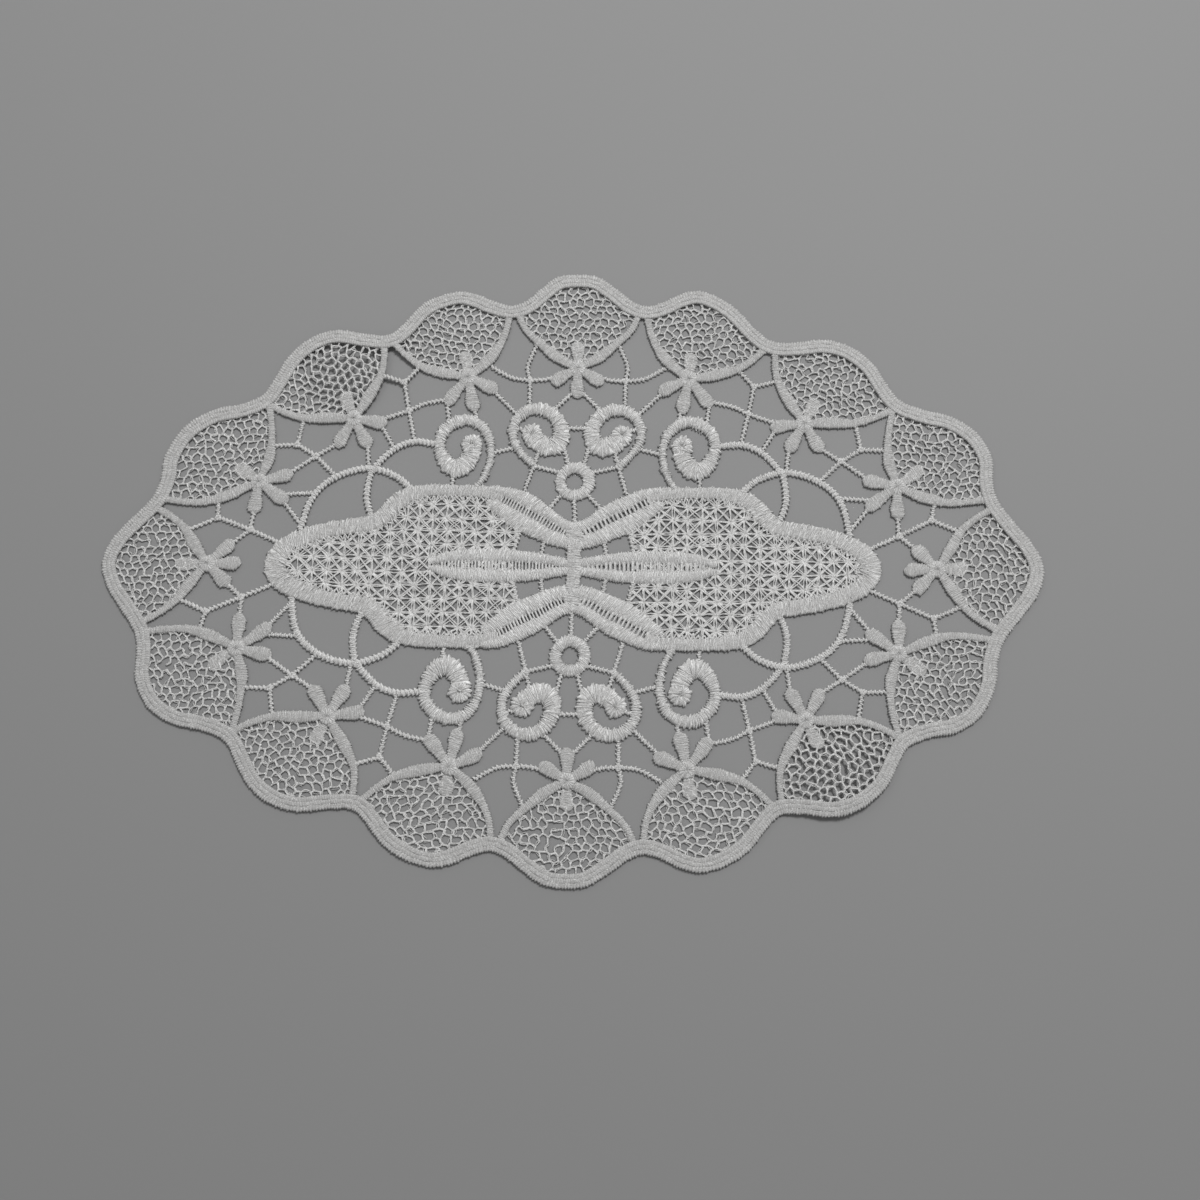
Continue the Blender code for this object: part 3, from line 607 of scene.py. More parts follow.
def sew(work, line, kind, top, seed, closed=False, lean=1.0, round_start=0.0, round_end=0.0):
    """A row of stitches side by side across a line, whose third column is the width."""
    row = STITCHES[kind]
    pitch = getattr(sizes(), row.spacing) / MM
    length = np.linalg.norm(np.diff(line[:, :2], axis=0), axis=1).sum()
    if closed:
        length += math.dist(line[-1, :2], line[0, :2])
    stitches = max(2, round(length / pitch))
    count = (np.arange(stitches)[:, None] + np.array(BLUNT if row.blunt else POINTED)).ravel()
    if not closed:
        count = np.append(count, stitches)
    spots, places, length = stations(line, count / stitches, closed)
    rings = len(spots)
    forward, left = left_of(spots, closed)

    chance = np.random.default_rng(seed)
    stitch = np.minimum(count.astype(int), stitches - 1)
    ridge = count % 1 > 0
    turn = np.where(stitch % 2, 1.0, -1.0) if row.zigzag else np.ones(rings)
    half = spots[:, 2] / 2
    rise = 1.0
    for share, rate, pace in WAVES:
        rise = rise + share * np.sin(places * rate + pace * seed)
    high = top * rise
    for reach, way in ((round_start, places), (round_end, length - places)):
        if reach > 0:
            t = 1 - np.clip(way / reach, 0, 1)
            half = half * np.sqrt(np.maximum(1 - t ** 2, END_LEAST))
            high = high * (1 - END_DROP * t ** 2)
    tooth = np.minimum(row.tooth, half) / 2
    low = -tooth / 2 if row.zigzag else -tooth
    ragged = chance.uniform(-row.rag, row.rag, (2, stitches))[:, stitch]
    back = -turn if row.zigzag else turn
    half_left = half + np.where(ridge, tooth * turn + ragged[0], low)
    half_right = half + np.where(ridge, tooth * back + ragged[1], low)
    dip = row.drop * chance.uniform(*DIPS, rings)
    high = high + np.where(ridge, chance.uniform(-row.uneven, row.uneven, stitches)[stitch], -dip)
    shift = np.where(ridge, chance.uniform(-STRAY, STRAY, stitches)[stitch], 0) * pitch
    slant = lean * row.slant * np.where(ridge | (not row.zigzag), turn, 0)
    slant = slant + np.where(ridge, chance.uniform(-row.sway, row.sway, stitches)[stitch], 0)

    v, up = np.array(row.section).T
    across = np.where(v > 0, half_left[:, None], half_right[:, None]) * v
    run = slant[:, None] * across + shift[:, None]
    xy = spots[:, None, :2] + left[:, None] * across[..., None] + forward[:, None] * run[..., None]
    under = DIP_FOOT * np.where(ridge, 0, dip)
    z = np.where(up > 0, FOOT + up * high[:, None], FOOT + under[:, None])
    z = z + chance.uniform(-ROUGH, ROUGH, z.shape) * (up > 0)
    points = np.concatenate([xy, z[..., None]], axis=-1)
    number = np.broadcast_to(count[:, None], across.shape) + FIBRE_STEP * seed
    thread = np.stack([number, across], axis=-1)
    work.add(points[None], thread[None], ~ridge, stitches if closed else 0, row.shine)


def sew_ring(work, x, y, outer, inner, kind, top, seed):
    """Stitches fanned round a middle."""
    middle = (outer + inner) / 2
    turn = np.linspace(0, 2 * math.pi, RING_POINTS, endpoint=False) + seed
    line = np.column_stack([x + middle * np.cos(turn), y + middle * np.sin(turn),
                            np.full(len(turn), outer - inner)])
    sew(work, line, kind, top, seed, closed=True)


def lay(work, starts, ends, radius, seed, sides=5, bow=0.0, bulge=0.0, sag=0.0, swell=0.0, aside=0.0):
    """Threads from starts to ends (x, y, z), each a thin tube that runs a little past its ends.

    Bow and aside are random, bulge is the same for all, and a swell thickens a thread at its ends.
    """
    chance = np.random.default_rng(seed)
    run = ends - starts
    if aside > 0:
        off = np.stack([-run[:, 1], run[:, 0], np.zeros(len(run))], axis=1)
        off = off / np.maximum(np.linalg.norm(off, axis=1), SHORTEST)[:, None] * aside
        starts = starts + off * chance.uniform(-1, 1, (len(run), 1))
        ends = ends + off * chance.uniform(-1, 1, (len(run), 1))
        run = ends - starts
    length = np.maximum(np.linalg.norm(run[:, :2], axis=1), SHORTEST)[:, None]
    forward = run[:, None, :2] / length[:, None]
    left = np.stack([-forward[..., 1], forward[..., 0]], axis=-1)
    past = THREAD_PAST * radius / length
    share = np.array(THREAD_PLACES)
    t = share + np.array([-1.0, 0.0, 0.0, 0.0, 1.0]) * past
    hump = 4 * share * (1 - share)
    thick = radius * np.array([THREAD_TIP, 1 + swell, 1.0, 1 + swell, THREAD_TIP])
    thick = thick * chance.uniform(*THREAD_UNEVEN, (len(run), 1))
    spots = starts[:, None] + run[:, None] * t[..., None]
    bows = (bulge + chance.uniform(-bow, bow, (len(run), 1))) * hump
    spots[..., :2] += left * bows[..., None]
    spots[..., 2] -= sag * hump
    turn = np.arange(sides) / sides * 2 * math.pi + math.pi / 2
    out = np.empty((len(run), len(share), sides, 3))
    sideways = (np.cos(turn) * thick[..., None])[..., None]
    out[..., :2] = spots[:, :, None, :2] - left[:, :, None] * sideways
    out[..., 2] = spots[:, :, None, 2] + np.sin(turn) * thick[..., None]
    place = np.empty(out.shape[:3] + (2,))
    place[..., 0] = (0.02 + 0.96 * share + chance.integers(0, 5000, (len(run), 1)))[..., None]
    place[..., 1] = turn * radius
    work.add(out, place, np.zeros(len(share), bool))


# ---------------------------------------------------------------- nets

def inside(places, outline):
    """Which places lie inside a closed outline."""
    x, y = places[:, 0][:, None], places[:, 1][:, None]
    x0, y0 = outline[:, 0], outline[:, 1]
    x1, y1 = np.roll(x0, -1), np.roll(y0, -1)
    spans = (y0 > y) != (y1 > y)
    rise = np.where(y1 == y0, 1e-9, y1 - y0)
    return (spans & (x < (x1 - x0) * (y - y0) / rise + x0)).sum(axis=1) % 2 == 1


def cut_to(starts, ends, outline):
    """Threads that lie inside an outline, cut off where they cross it."""
    t = np.linspace(0, 1, CUT_SAMPLES + 1)
    places = starts[:, None] + (ends - starts)[:, None] * t[:, None]
    within = inside(places.reshape(-1, places.shape[-1])[:, :2], outline).reshape(len(starts), -1)
    first = within.argmax(axis=1)
    last = CUT_SAMPLES - within[:, ::-1].argmax(axis=1)
    keep = within.any(axis=1) & (last - first >= CUT_LEAST)
    run = ends - starts
    low = starts + run * t[first][:, None]
    high = starts + run * t[last][:, None]
    return low[keep], high[keep]


def honeycomb(outline, cell, turn, seed):
    """Threads of an uneven six-sided net that fills an outline."""
    chance = np.random.default_rng(seed)
    middle = (outline.min(axis=0) + outline.max(axis=0)) / 2
    reach = np.linalg.norm(outline.max(axis=0) - outline.min(axis=0)) / 2 + cell
    side = cell / math.sqrt(3)
    count = int(reach / side) + 2
    i, j = np.meshgrid(np.arange(-count, count + 1), np.arange(-count, count + 1), indexing="ij")
    cells = np.stack([cell * (i + 0.5 * (j % 2)), 1.5 * side * j], axis=-1)
    low = cells + np.array([0.0, -side])
    high = cells + np.array([0.0, side])
    a = math.radians(turn)
    spin = np.array([[math.cos(a), math.sin(a)], [-math.sin(a), math.cos(a)]])
    knots = np.stack([low, high]) @ spin + middle
    knots += chance.normal(0, NET_STRAY * cell, knots.shape)
    knots += NET_DRIFT * cell * np.sin(knots[..., ::-1] / cell * np.array(NET_PACE) + seed)
    heights = chance.uniform(*NET_HEIGHTS, knots.shape[:3])
    knots = np.concatenate([knots, heights[..., None]], axis=-1)
    low, high = knots[0], knots[1]
    starts, ends = [], []
    # The top of a cell joins the foot of the cell two rows up and of both cells one row up.
    for row in range(1, low.shape[1] - 2):
        odd = (row - count) % 2
        far = slice(2, None) if odd else slice(0, -2)
        for foot in (low[1:-1, row + 2], low[1:-1, row + 1], low[far, row + 1]):
            starts.append(high[1:-1, row])
            ends.append(foot)
    starts, ends = np.vstack(starts), np.vstack(ends)
    stays = chance.uniform(0, 1, len(starts)) > NET_MISSING
    return cut_to(starts[stays], ends[stays], outline)


def star_threads(outline, pitch_x, pitch_y, seed):
    """Threads of a net whose rows, columns and diagonals cross in eight-pointed stars."""
    chance = np.random.default_rng(seed)
    across = int(outline[:, 0].max() / pitch_x) + 1
    up = int(outline[:, 1].max() / pitch_y) + 2
    x = STAR_NET_START[0] + pitch_x * np.arange(-1, across)
    y = STAR_NET_START[1] + pitch_y * np.arange(0, up)
    y = np.concatenate([-y[::-1], y])
    knots = np.stack(np.meshgrid(x, y, indexing="ij"), axis=-1)
    knots = knots + chance.normal(0, STAR_STRAY, knots.shape)
    heights = chance.uniform(*STAR_HEIGHTS, knots.shape[:2])
    knots = np.concatenate([knots, heights[..., None]], axis=-1)
    pairs = ((knots[:-1], knots[1:]), (knots[:, :-1], knots[:, 1:]), (knots[:-1, :-1], knots[1:, 1:]),
             (knots[:-1, 1:], knots[1:, :-1]))
    starts = np.vstack([a.reshape(-1, 3) for a, _ in pairs])
    ends = np.vstack([b.reshape(-1, 3) for _, b in pairs])
    return cut_to(starts, ends, outline)


# ---------------------------------------------------------------- properties

class DoilySizes(bpy.types.PropertyGroup):
    """Widths and spacings of the thread work."""

    rim_width: bpy.props.FloatProperty(
        name="Rim width", description="Width of the scalloped rim with its three rows",
        default=0.0031, min=0.001, unit="LENGTH", precision=5)
    rim_spacing: bpy.props.FloatProperty(
        name="Rim stitch", description="Distance from stitch to stitch along the rim's rows",
        default=0.00056, min=0.0003, unit="LENGTH", precision=5)
    edge_spacing: bpy.props.FloatProperty(
        name="Edge stitch", description="Distance from tooth to tooth along the rim's outer row",
        default=0.00068, min=0.0003, unit="LENGTH", precision=5)
    band_spacing: bpy.props.FloatProperty(
        name="Band stitch", description="Distance from stitch to stitch in the flat satin bands",
        default=0.0006, min=0.0002, unit="LENGTH", precision=5)
    scroll_spacing: bpy.props.FloatProperty(
        name="Scroll stitch", description="Distance from stitch to stitch in the scrolls and leaves",
        default=0.0006, min=0.0002, unit="LENGTH", precision=5)
    cord_spacing: bpy.props.FloatProperty(
        name="Cord stitch", description="Distance from stitch to stitch along a cord",
        default=0.00052, min=0.0003, unit="LENGTH", precision=5)
    cord_width: bpy.props.FloatProperty(
        name="Cord width", description="Width of the light cords",
        default=0.00098, min=0.0004, unit="LENGTH", precision=5)
    heavy_cord_width: bpy.props.FloatProperty(
        name="Heavy cord width", description="Width of the long curved cords",
        default=0.0016, min=0.0005, unit="LENGTH", precision=5)
    net_cell: bpy.props.FloatProperty(
        name="Net cell", description="Width of a cell of the net in the scallops",
        default=0.00208, min=0.001, unit="LENGTH", precision=5)
    net_thread: bpy.props.FloatProperty(
        name="Net thread", description="Thickness of the nets' threads",
        default=0.00042, min=0.0001, unit="LENGTH", precision=5)
    star_width: bpy.props.FloatProperty(
        name="Star width", description="Distance between the star net's columns of knots",
        default=0.0035, min=0.001, unit="LENGTH", precision=5)
    star_height: bpy.props.FloatProperty(
        name="Star height", description="Distance between the star net's rows of knots",
        default=0.00333, min=0.001, unit="LENGTH", precision=5)
    rung_spacing: bpy.props.FloatProperty(
        name="Rung spacing", description="Distance between the rungs of the leaves' ladders",
        default=0.00106, min=0.0004, unit="LENGTH", precision=5)


class DoilyColours(bpy.types.PropertyGroup):
    """Colours of the thread, of its painted highlight and of the floor."""

    thread: bpy.props.FloatVectorProperty(
        name="Thread", description="Colour of the thread where it is clean and full",
        default=(0.76, 0.755, 0.745), size=3, min=0.0, max=1.0, subtype="COLOR")
    thread_shade: bpy.props.FloatVectorProperty(
        name="Thread shade", description="Colour of the duller stitches",
        default=(0.45, 0.447, 0.44), size=3, min=0.0, max=1.0, subtype="COLOR")
    # Painted highlight: the colour that glinting fibres are painted, in place of the light they catch.
    painted_highlight: bpy.props.FloatVectorProperty(
        name="Painted highlight", description="Colour of the fibres that catch the light",
        default=(0.97, 0.97, 0.96), size=3, min=0.0, max=1.0, subtype="COLOR")
    floor: bpy.props.FloatVectorProperty(
        name="Floor", description="Colour of the plain floor",
        default=(0.286, 0.286, 0.286), size=3, min=0.0, max=1.0, subtype="COLOR")


# ---------------------------------------------------------------- finishes

class Wiring:
    """Adds nodes to a shader tree. A value may be a socket, a number or a colour."""

    def __init__(self, tree):
        self.nodes = tree.nodes
        self.links = tree.links

    def feed(self, socket, value):
        """Set a socket, or link another one to it."""
        if isinstance(value, (int, float, tuple)):
            socket.default_value = value
        else:
            self.links.new(value, socket)

    def math(self, operation, *values):
        """The result of a Math node."""
        node = self.nodes.new("ShaderNodeMath")
        node.operation = operation
        for socket, value in zip(node.inputs, values):
            self.feed(socket, value)
        return node.outputs[0]

    def noise(self, place, scale, detail, roughness=0.5):
        """The value of a Noise Texture node at a place."""
        node = self.nodes.new("ShaderNodeTexNoise")
        labels = ("Vector", "Scale", "Detail", "Roughness")
        for label, value in zip(labels, (place, scale, detail, roughness)):
            self.feed(node.inputs[label], value)
        return node.outputs["Fac"]

    def ramp(self, value, start=0.0, end=1.0, least=0.0, most=1.0, soft=False):
        """What goes from least to most as a value goes from start to end."""
        node = self.nodes.new("ShaderNodeMapRange")
        node.interpolation_type = "SMOOTHSTEP" if soft else "LINEAR"
        labels = ("Value", "From Min", "From Max", "To Min", "To Max")
        for label, item in zip(labels, (value, start, end, least, most)):
            self.feed(node.inputs[label], item)
        return node.outputs["Result"]

    def mix(self, factor, a, b, kind="FLOAT"):
        """The result of a Mix node, for numbers or for colours."""
        node = self.nodes.new("ShaderNodeMix")
        node.data_type = kind
        for label, value in (("Factor", factor), ("A", a), ("B", b)):
            self.feed(node.inputs[label], value)
        return node.outputs["Result"]


THREAD_GROUP = "doily thread"
# columns: input of the thread's node group, default
THREAD_INPUTS = (
    ("Along", 3.0), ("Across", 1.0), ("Strands", 1.0), ("Twist", 3.0), ("Specks", 2500.0),
    ("Least Dull", 0.0), ("Most Dull", 1.0), ("Glint Share", 0.5), ("Streaks", 0.5),
)
# The Glint output is a painted highlight for the base colour, and it also makes the thread smoother;
# Glint Share is how much painted glint a finish gets.
THREAD_OUTPUTS = ("Height", "Dullness", "Glint", "Matt")
# How much closer the finest fibres lie than the others, along and across.
FINER = (6.0, 1.5, 1.0)
# How far the fibres bend the strands of a twist, in radians.
BEND = 8.0
# How many dots of painted sparkle there are to a speck, along each axis.
DOTS = 1.7


def thread_group():
    """Fibres, dull stitches and painted glints on streaks and specks, from the thread's own coordinates.
    """
    if THREAD_GROUP in bpy.data.node_groups:
        return bpy.data.node_groups[THREAD_GROUP]
    group = bpy.data.node_groups.new(THREAD_GROUP, "ShaderNodeTree")
    for label, value in THREAD_INPUTS:
        socket = group.interface.new_socket(label, in_out="INPUT", socket_type="NodeSocketFloat")
        socket.default_value = value
    for label in THREAD_OUTPUTS:
        group.interface.new_socket(label, in_out="OUTPUT", socket_type="NodeSocketFloat")
    nodes, links, wire = group.nodes, group.links, Wiring(group)
    entry = nodes.new("NodeGroupInput").outputs
    result = nodes.new("NodeGroupOutput").inputs

    place = nodes.new("ShaderNodeUVMap")
    place.uv_map = "thread"
    split = nodes.new("ShaderNodeSeparateXYZ")
    links.new(place.outputs["UV"], split.inputs[0])
    along, across = split.outputs["X"], split.outputs["Y"]
    stretched = nodes.new("ShaderNodeCombineXYZ")
    links.new(wire.math("MULTIPLY", along, entry["Along"]), stretched.inputs["X"])
    links.new(wire.math("MULTIPLY", across, entry["Across"]), stretched.inputs["Y"])
    closer = nodes.new("ShaderNodeVectorMath")
    closer.operation = "MULTIPLY"
    closer.inputs[1].default_value = FINER
    links.new(stretched.outputs[0], closer.inputs[0])
    body = nodes.new("ShaderNodeTexCoord").outputs["Object"]
    odd = nodes.new("ShaderNodeTexWhiteNoise")
    odd.noise_dimensions = "1D"
    links.new(wire.math("FLOOR", along), odd.inputs["W"])
    own = odd.outputs["Value"]
    shine = nodes.new("ShaderNodeAttribute")
    shine.attribute_name = "shine"
    shine = shine.outputs["Fac"]

    fibres = wire.noise(stretched.outputs[0], 1.0, 3.0, 0.6)
    fine = wire.noise(closer.outputs[0], 1.0, 2.0)
    specks = wire.noise(body, entry["Specks"], 2.0)
    dots = wire.noise(body, wire.math("MULTIPLY", entry["Specks"], DOTS), 1.0)
    grain = wire.mix(entry["Streaks"], specks, fibres)
    twist = wire.math("MULTIPLY", across, entry["Twist"])
    turns = wire.math("MULTIPLY", along, entry["Strands"])
    phase = wire.math("MULTIPLY_ADD", turns, 2 * math.pi, twist)
    wave = wire.math("SINE", wire.math("MULTIPLY_ADD", fibres, BEND, phase))

    height = wire.math("MULTIPLY_ADD", wave, 0.1, grain)
    height = wire.math("MULTIPLY_ADD", fine, 0.25, height)
    lift = wire.math("MULTIPLY_ADD", shine, 0.6, 0.4)
    links.new(wire.math("MULTIPLY", height, lift), result["Height"])

    matt = wire.math("SUBTRACT", 1.0, shine)
    links.new(matt, result["Matt"])
    dull = wire.math("ADD", wire.math("MULTIPLY", own, 0.5), wire.math("MULTIPLY", fibres, 0.5))
    dull = wire.ramp(dull, least=entry["Least Dull"], most=entry["Most Dull"])
    dull = wire.math("MULTIPLY_ADD", matt, 0.9, dull)
    dull = wire.math("MULTIPLY_ADD", specks, -0.8, dull)
    links.new(wire.math("ADD", dull, 0.4), result["Dullness"])

    # Painted highlight: Glint rises on high streaks and chosen stitches, scaled by shine, and at sparse
    # dots of painted sparkle.
    painted_glint_drive = wire.math("MULTIPLY_ADD", own, 0.16, grain)
    painted_glint_drive = wire.math("MULTIPLY_ADD", wave, 0.1, painted_glint_drive)
    painted_glints = wire.ramp(painted_glint_drive, 0.57, 0.7, soft=True)
    painted_glints = wire.math("MULTIPLY", painted_glints, entry["Glint Share"])
    painted_glints = wire.math("MULTIPLY", painted_glints, shine)
    painted_sparkle = wire.ramp(dots, 0.6, 0.7, most=0.8, soft=True)
    links.new(wire.math("MAXIMUM", painted_glints, painted_sparkle), result["Glint"])
    return group


class Finish(NamedTuple):
    """How one kind of thread looks. The depth of its relief is in metres."""

    name: str
    along: float
    across: float
    strands: float
    twist: float
    least_dull: float
    most_dull: float
    glint_share: float
    streaks: float
    relief: float
    roughness: float


# columns: kind, material, features along, features across, strands in a stitch, twist, least dull,
# most dull, share of the painted glint, streaks, relief in metres, roughness
FINISHES = {
    "satin": Finish("satin_thread", 2.4, 0.8, 1.5, 0.5, 0.0, 0.9, 1.0, 0.85, 0.0005, 0.34),
    "rim": Finish("rim_thread", 1.7, 2.4, 1.0, 0.5, 0.95, 1.4, 0.25, 0.3, 0.0002, 0.5),
    "cord": Finish("cord_thread", 1.8, 2.0, 1.0, 4.0, -0.2, 0.5, 1.0, 0.7, 0.0004, 0.38),
    "net": Finish("net_thread", 3.0, 4.0, 0.5, 12.0, -1.0, 1.15, 1.0, 0.3, 0.0003, 0.3),
}
# Roughness of plain and of glinting thread over and under its finish's own, and what matt adds.
PLAIN_ROUGHER = 0.06
GLINT_SMOOTHER = 0.1
MATT_ROUGHER = 0.2
BUMP_STRENGTH = 0.9
SHEEN_WEIGHT = 0.15
SHEEN_ROUGHNESS = 0.4


def thread_material(kind):
    """White thread with a painted highlight, its fibres lying across the row or along the cord."""
    finish = FINISHES[kind]
    if finish.name in bpy.data.materials:
        return bpy.data.materials[finish.name]
    material = bpy.data.materials.new(finish.name)
    material.use_nodes = True
    tree = material.node_tree
    wire = Wiring(tree)
    shader = tree.nodes["Principled BSDF"].inputs
    group = tree.nodes.new("ShaderNodeGroup")
    group.node_tree = thread_group()
    for label, _ in THREAD_INPUTS:
        value = getattr(finish, label.lower().replace(" ", "_"), None)
        if value is not None:
            group.inputs[label].default_value = value
    thread = group.outputs

    colours = bpy.context.scene.doily_colours
    full, shade, glint = ((*colour, 1.0) for colour in (colours.thread, colours.thread_shade,
                                                        colours.painted_highlight))
    # The base colour runs from the thread colour to its duller shade, then towards the painted highlight
    # colour where Glint is high: painted highlight.
    tint = wire.mix(thread["Dullness"], full, shade, "RGBA")
    tree.links.new(wire.mix(thread["Glint"], tint, glint, "RGBA"), shader["Base Color"])
    relief = tree.nodes.new("ShaderNodeBump")
    relief.inputs["Strength"].default_value = BUMP_STRENGTH
    relief.inputs["Distance"].default_value = finish.relief
    tree.links.new(thread["Height"], relief.inputs["Height"])
    tree.links.new(relief.outputs["Normal"], shader["Normal"])
    gloss = wire.ramp(thread["Glint"], least=finish.roughness + PLAIN_ROUGHER,
                      most=finish.roughness - GLINT_SMOOTHER)
    rough = wire.math("MULTIPLY_ADD", thread["Matt"], MATT_ROUGHER, gloss)
    tree.links.new(rough, shader["Roughness"])
    shader["Sheen Weight"].default_value = SHEEN_WEIGHT
    shader["Sheen Roughness"].default_value = SHEEN_ROUGHNESS
    return material


# ---------------------------------------------------------------- pieces

def sizes():
    """The sizes that the sidebar shows."""
    return bpy.context.scene.doily_sizes


def sew_rim(work):
    """Three rows side by side round the scalloped edge."""
    edge = rim_line()
    row = sizes().rim_width / MM / len(RIM_ROWS)
    for number, (kind, away, extra, share, lean) in enumerate(RIM_ROWS):
        line = offset(edge, -row * away, closed=True)
        line = np.column_stack([line, np.full(len(line), row + extra)])
        sew(work, line, kind, RIM_TOP * share, SEEDS["rim"] + number, closed=True, lean=lean)


def sew_arcs(work):
    """The scallops' inner edges."""
    for number, _, copy in copies(ARCS):
        sew(work, smooth(copy), "band", ARC_TOP, SEEDS["arc"] + number)


def sew_flowers(work):
    """Hearts and petals. A flower's first petal lies low, among the threads of the net."""
    for number, (_, x, y, petals, _) in enumerate(FLOWERS):
        for turn, (_, copy) in enumerate(in_all_quarters([(x, y)])):
            seed = SEEDS["heart"] + 10 * number + turn
            sew_ring(work, *copy[0], HEART_WIDTH / 2, DISC_HOLE, "disc", HEART_TOP, seed)
        for petal, (angle, length) in enumerate(petals):
            way = np.array([math.cos(math.radians(angle)), math.sin(math.radians(angle))])
            rows = [(x + way[0] * length * s, y + way[1] * length * s, w) for s, w in PETAL]
            top = PETAL_TOP if petal else LOW_PETAL_TOP
            for turn, (_, copy) in enumerate(in_all_quarters(rows)):
                seed = SEEDS["petal"] + 40 * number + 4 * petal + turn
                sew(work, smooth(copy), "band", top, seed, round_end=PETAL_ROUND)


def sew_scrolls(work):
    """Scrolls with their eyes, and the two small rings."""
    for number, _, copy in copies(SCROLLS):
        seed = SEEDS["scroll"] + number
        sew(work, smooth(copy), "scroll", SCROLL_TOP, seed, round_start=SCROLL_ROUND)
        sew_ring(work, *copy[0, :2], EYE_WIDTH / 2, EYE_HOLE, "scroll", EYE_TOP, SEEDS["eye"] + number)
    for side in (1, -1):
        sew_ring(work, RING_CENTRE[0], RING_CENTRE[1] * side, RING_OUTER, RING_INNER, "ring", RING_TOP,
                 SEEDS["ring"] + side)


def sew_medallion(work):
    """The band round the medallion, its leaves and the short band where they meet."""
    half = np.vstack([mirrored(MEDALLION, (1, -1))[::-1][:-1], np.array(MEDALLION)])
    for turn, side in enumerate((1, -1)):
        line = smooth(mirrored(half, (side, 1)))
        sew(work, line, "wide band", BAND_TOP, SEEDS["medallion"] + turn, lean=BAND_LEAN)
    for number, quarter, copy in copies(LEAVES):
        sew(work, smooth(copy), "leaf", LEAF_TOP, SEEDS["leaf"] + number,
            lean=-quarter[0] * quarter[1], round_start=LEAF_ROUND)
    sew(work, smooth(STALK), "wide band", STALK_TOP, SEEDS["stalk"])


def lay_ladders(work):
    """Short rungs across the slits between the leaves' halves."""
    pitch = sizes().rung_spacing / MM
    for number, (_, first, last, width) in enumerate(LADDERS):
        for turn, (quarter, copy) in enumerate(in_all_quarters((first, last))):
            closer = CLOSE_RUNGS if quarter[0] < 0 else 1.0
            count = int(math.dist(copy[0], copy[1]) / pitch / closer)
            t = (np.arange(count) + 0.5) / count
            middle = copy[0] + (copy[1] - copy[0]) * t[:, None]
            along = (copy[1] - copy[0]) / np.linalg.norm(copy[1] - copy[0])
            left = np.array([-along[1], along[0]])
            narrowed = np.sqrt(np.maximum(1 - (2 * t - 1) ** 4, 0.1))
            reach = (width / 2 * narrowed + RUNG_PAST)[:, None]
            high = np.full((count, 1), RUNG_TOP)
            starts = np.hstack([middle - left * reach, high])
            ends = np.hstack([middle + left * reach, high])
            seed = SEEDS["rung"] + 4 * number + turn
            lay(work, starts, ends, RUNG_RADIUS * closer, seed, bow=0.06, sag=0.1)


def lay_star_net(work):
    """The medallion's net of eight-pointed stars, with a fringe to its band."""
    band = smooth(MEDALLION)
    edge = band[:, :2] + left_of(band)[1] * (band[:, 2:] / 2 - 0.35)
    upper = [tuple(p[:2]) for p in band] + list(STAR_NET_EDGE)
    outline = np.array(upper + [(x, -y) for x, y in reversed(upper)])
    radius = sizes().net_thread / MM / 2
    width, height = sizes().star_width / MM, sizes().star_height / MM
    for turn, side in enumerate((1, -1)):
        starts, ends = star_threads(outline, width, height, 5 + turn)
        flip = np.array([side, 1, 1])
        starts, ends = starts * flip, ends * flip
        chosen = np.random.default_rng(SEEDS["star choice"] + turn).uniform(0, 1, len(starts))
        for strand, (least, most, thin, bulge, sag, aside) in enumerate(STAR_STRANDS):
            some = (chosen >= least) & (chosen < most)
            lay(work, starts[some], ends[some], radius * thin, SEEDS["star"] + 4 * strand + turn,
                sides=4, bow=0.2, bulge=bulge, sag=sag, swell=0.7, aside=aside)
        lay_fringe(work, mirrored(edge, (side, 1)), radius, SEEDS["fringe"] + turn)
        lay_fringe(work, mirrored(edge, (side, -1)), radius, SEEDS["fringe"] + 2 + turn)


def lay_fringe(work, line, radius, seed):
    """A zig-zag of threads between a band's edge and its net, on the side of the middle."""
    length = np.linalg.norm(np.diff(line, axis=0), axis=1).sum()
    count = int(length / FRINGE_PITCH)
    chance = np.random.default_rng(seed)
    shares = np.arange(count + 1) + chance.uniform(-0.2, 0.2, count + 1)
    feet = stations(line, shares.clip(0, count) / count)[0]
    tips = stations(line, (np.arange(count) + 0.5) / count)[0]
    left = left_of(tips)[1]
    inward = np.sign(np.sum(left * -tips, axis=1))[:, None]
    tips = tips + left * inward * (FRINGE_REACH * chance.uniform(0.7, 1.2, (count, 1)))
    feet = np.column_stack([feet, np.full(count + 1, FRINGE_FOOT)])
    tips = np.column_stack([tips, np.full(count, FRINGE_TIP)])
    lay(work, np.vstack([feet[:-1], feet[1:]]), np.vstack([tips, tips]), radius * 0.9, seed,
        bow=0.1, aside=0.1)


def scallop_outlines():
    """The outline of each scallop's net in the first quarter.

    It goes up one arc, along the rim and down the other arc. Those at the ends of the quarter are
    halves with their mirrored copies.
    """
    rim = offset(rim_line(), -sizes().rim_width / MM / 2, closed=True)
    notches = [row[1:] for row in RIM if row[0].startswith("notch")]
    cuts = [int(np.argmin(np.hypot(*(rim - place).T))) for place in notches]
    cuts = [0, *cuts, int(np.argmin(np.hypot(*(rim - RIM[-1][1:]).T)))]
    arcs = {name: smooth(rows)[:, :2] for name, rows in ARCS}
    last = len(FLOWERS) - 1
    outlines = []
    for number in range(len(FLOWERS)):
        top = rim[cuts[number]:cuts[number + 1] + 1]
        if number == 0:
            half = np.vstack([top[:-2], arcs["0 right"]])
            outline = np.vstack([half, mirrored(half, (-1, 1))[::-1]])
        elif number == last:
            half = np.vstack([arcs["%d left" % number][::-1], top[2:]])
            outline = np.vstack([half, mirrored(half, (1, -1))[::-1]])
        else:
            outline = np.vstack([arcs["%d left" % number][::-1], top[2:-2], arcs["%d right" % number]])
        outlines.append(outline)
    return outlines


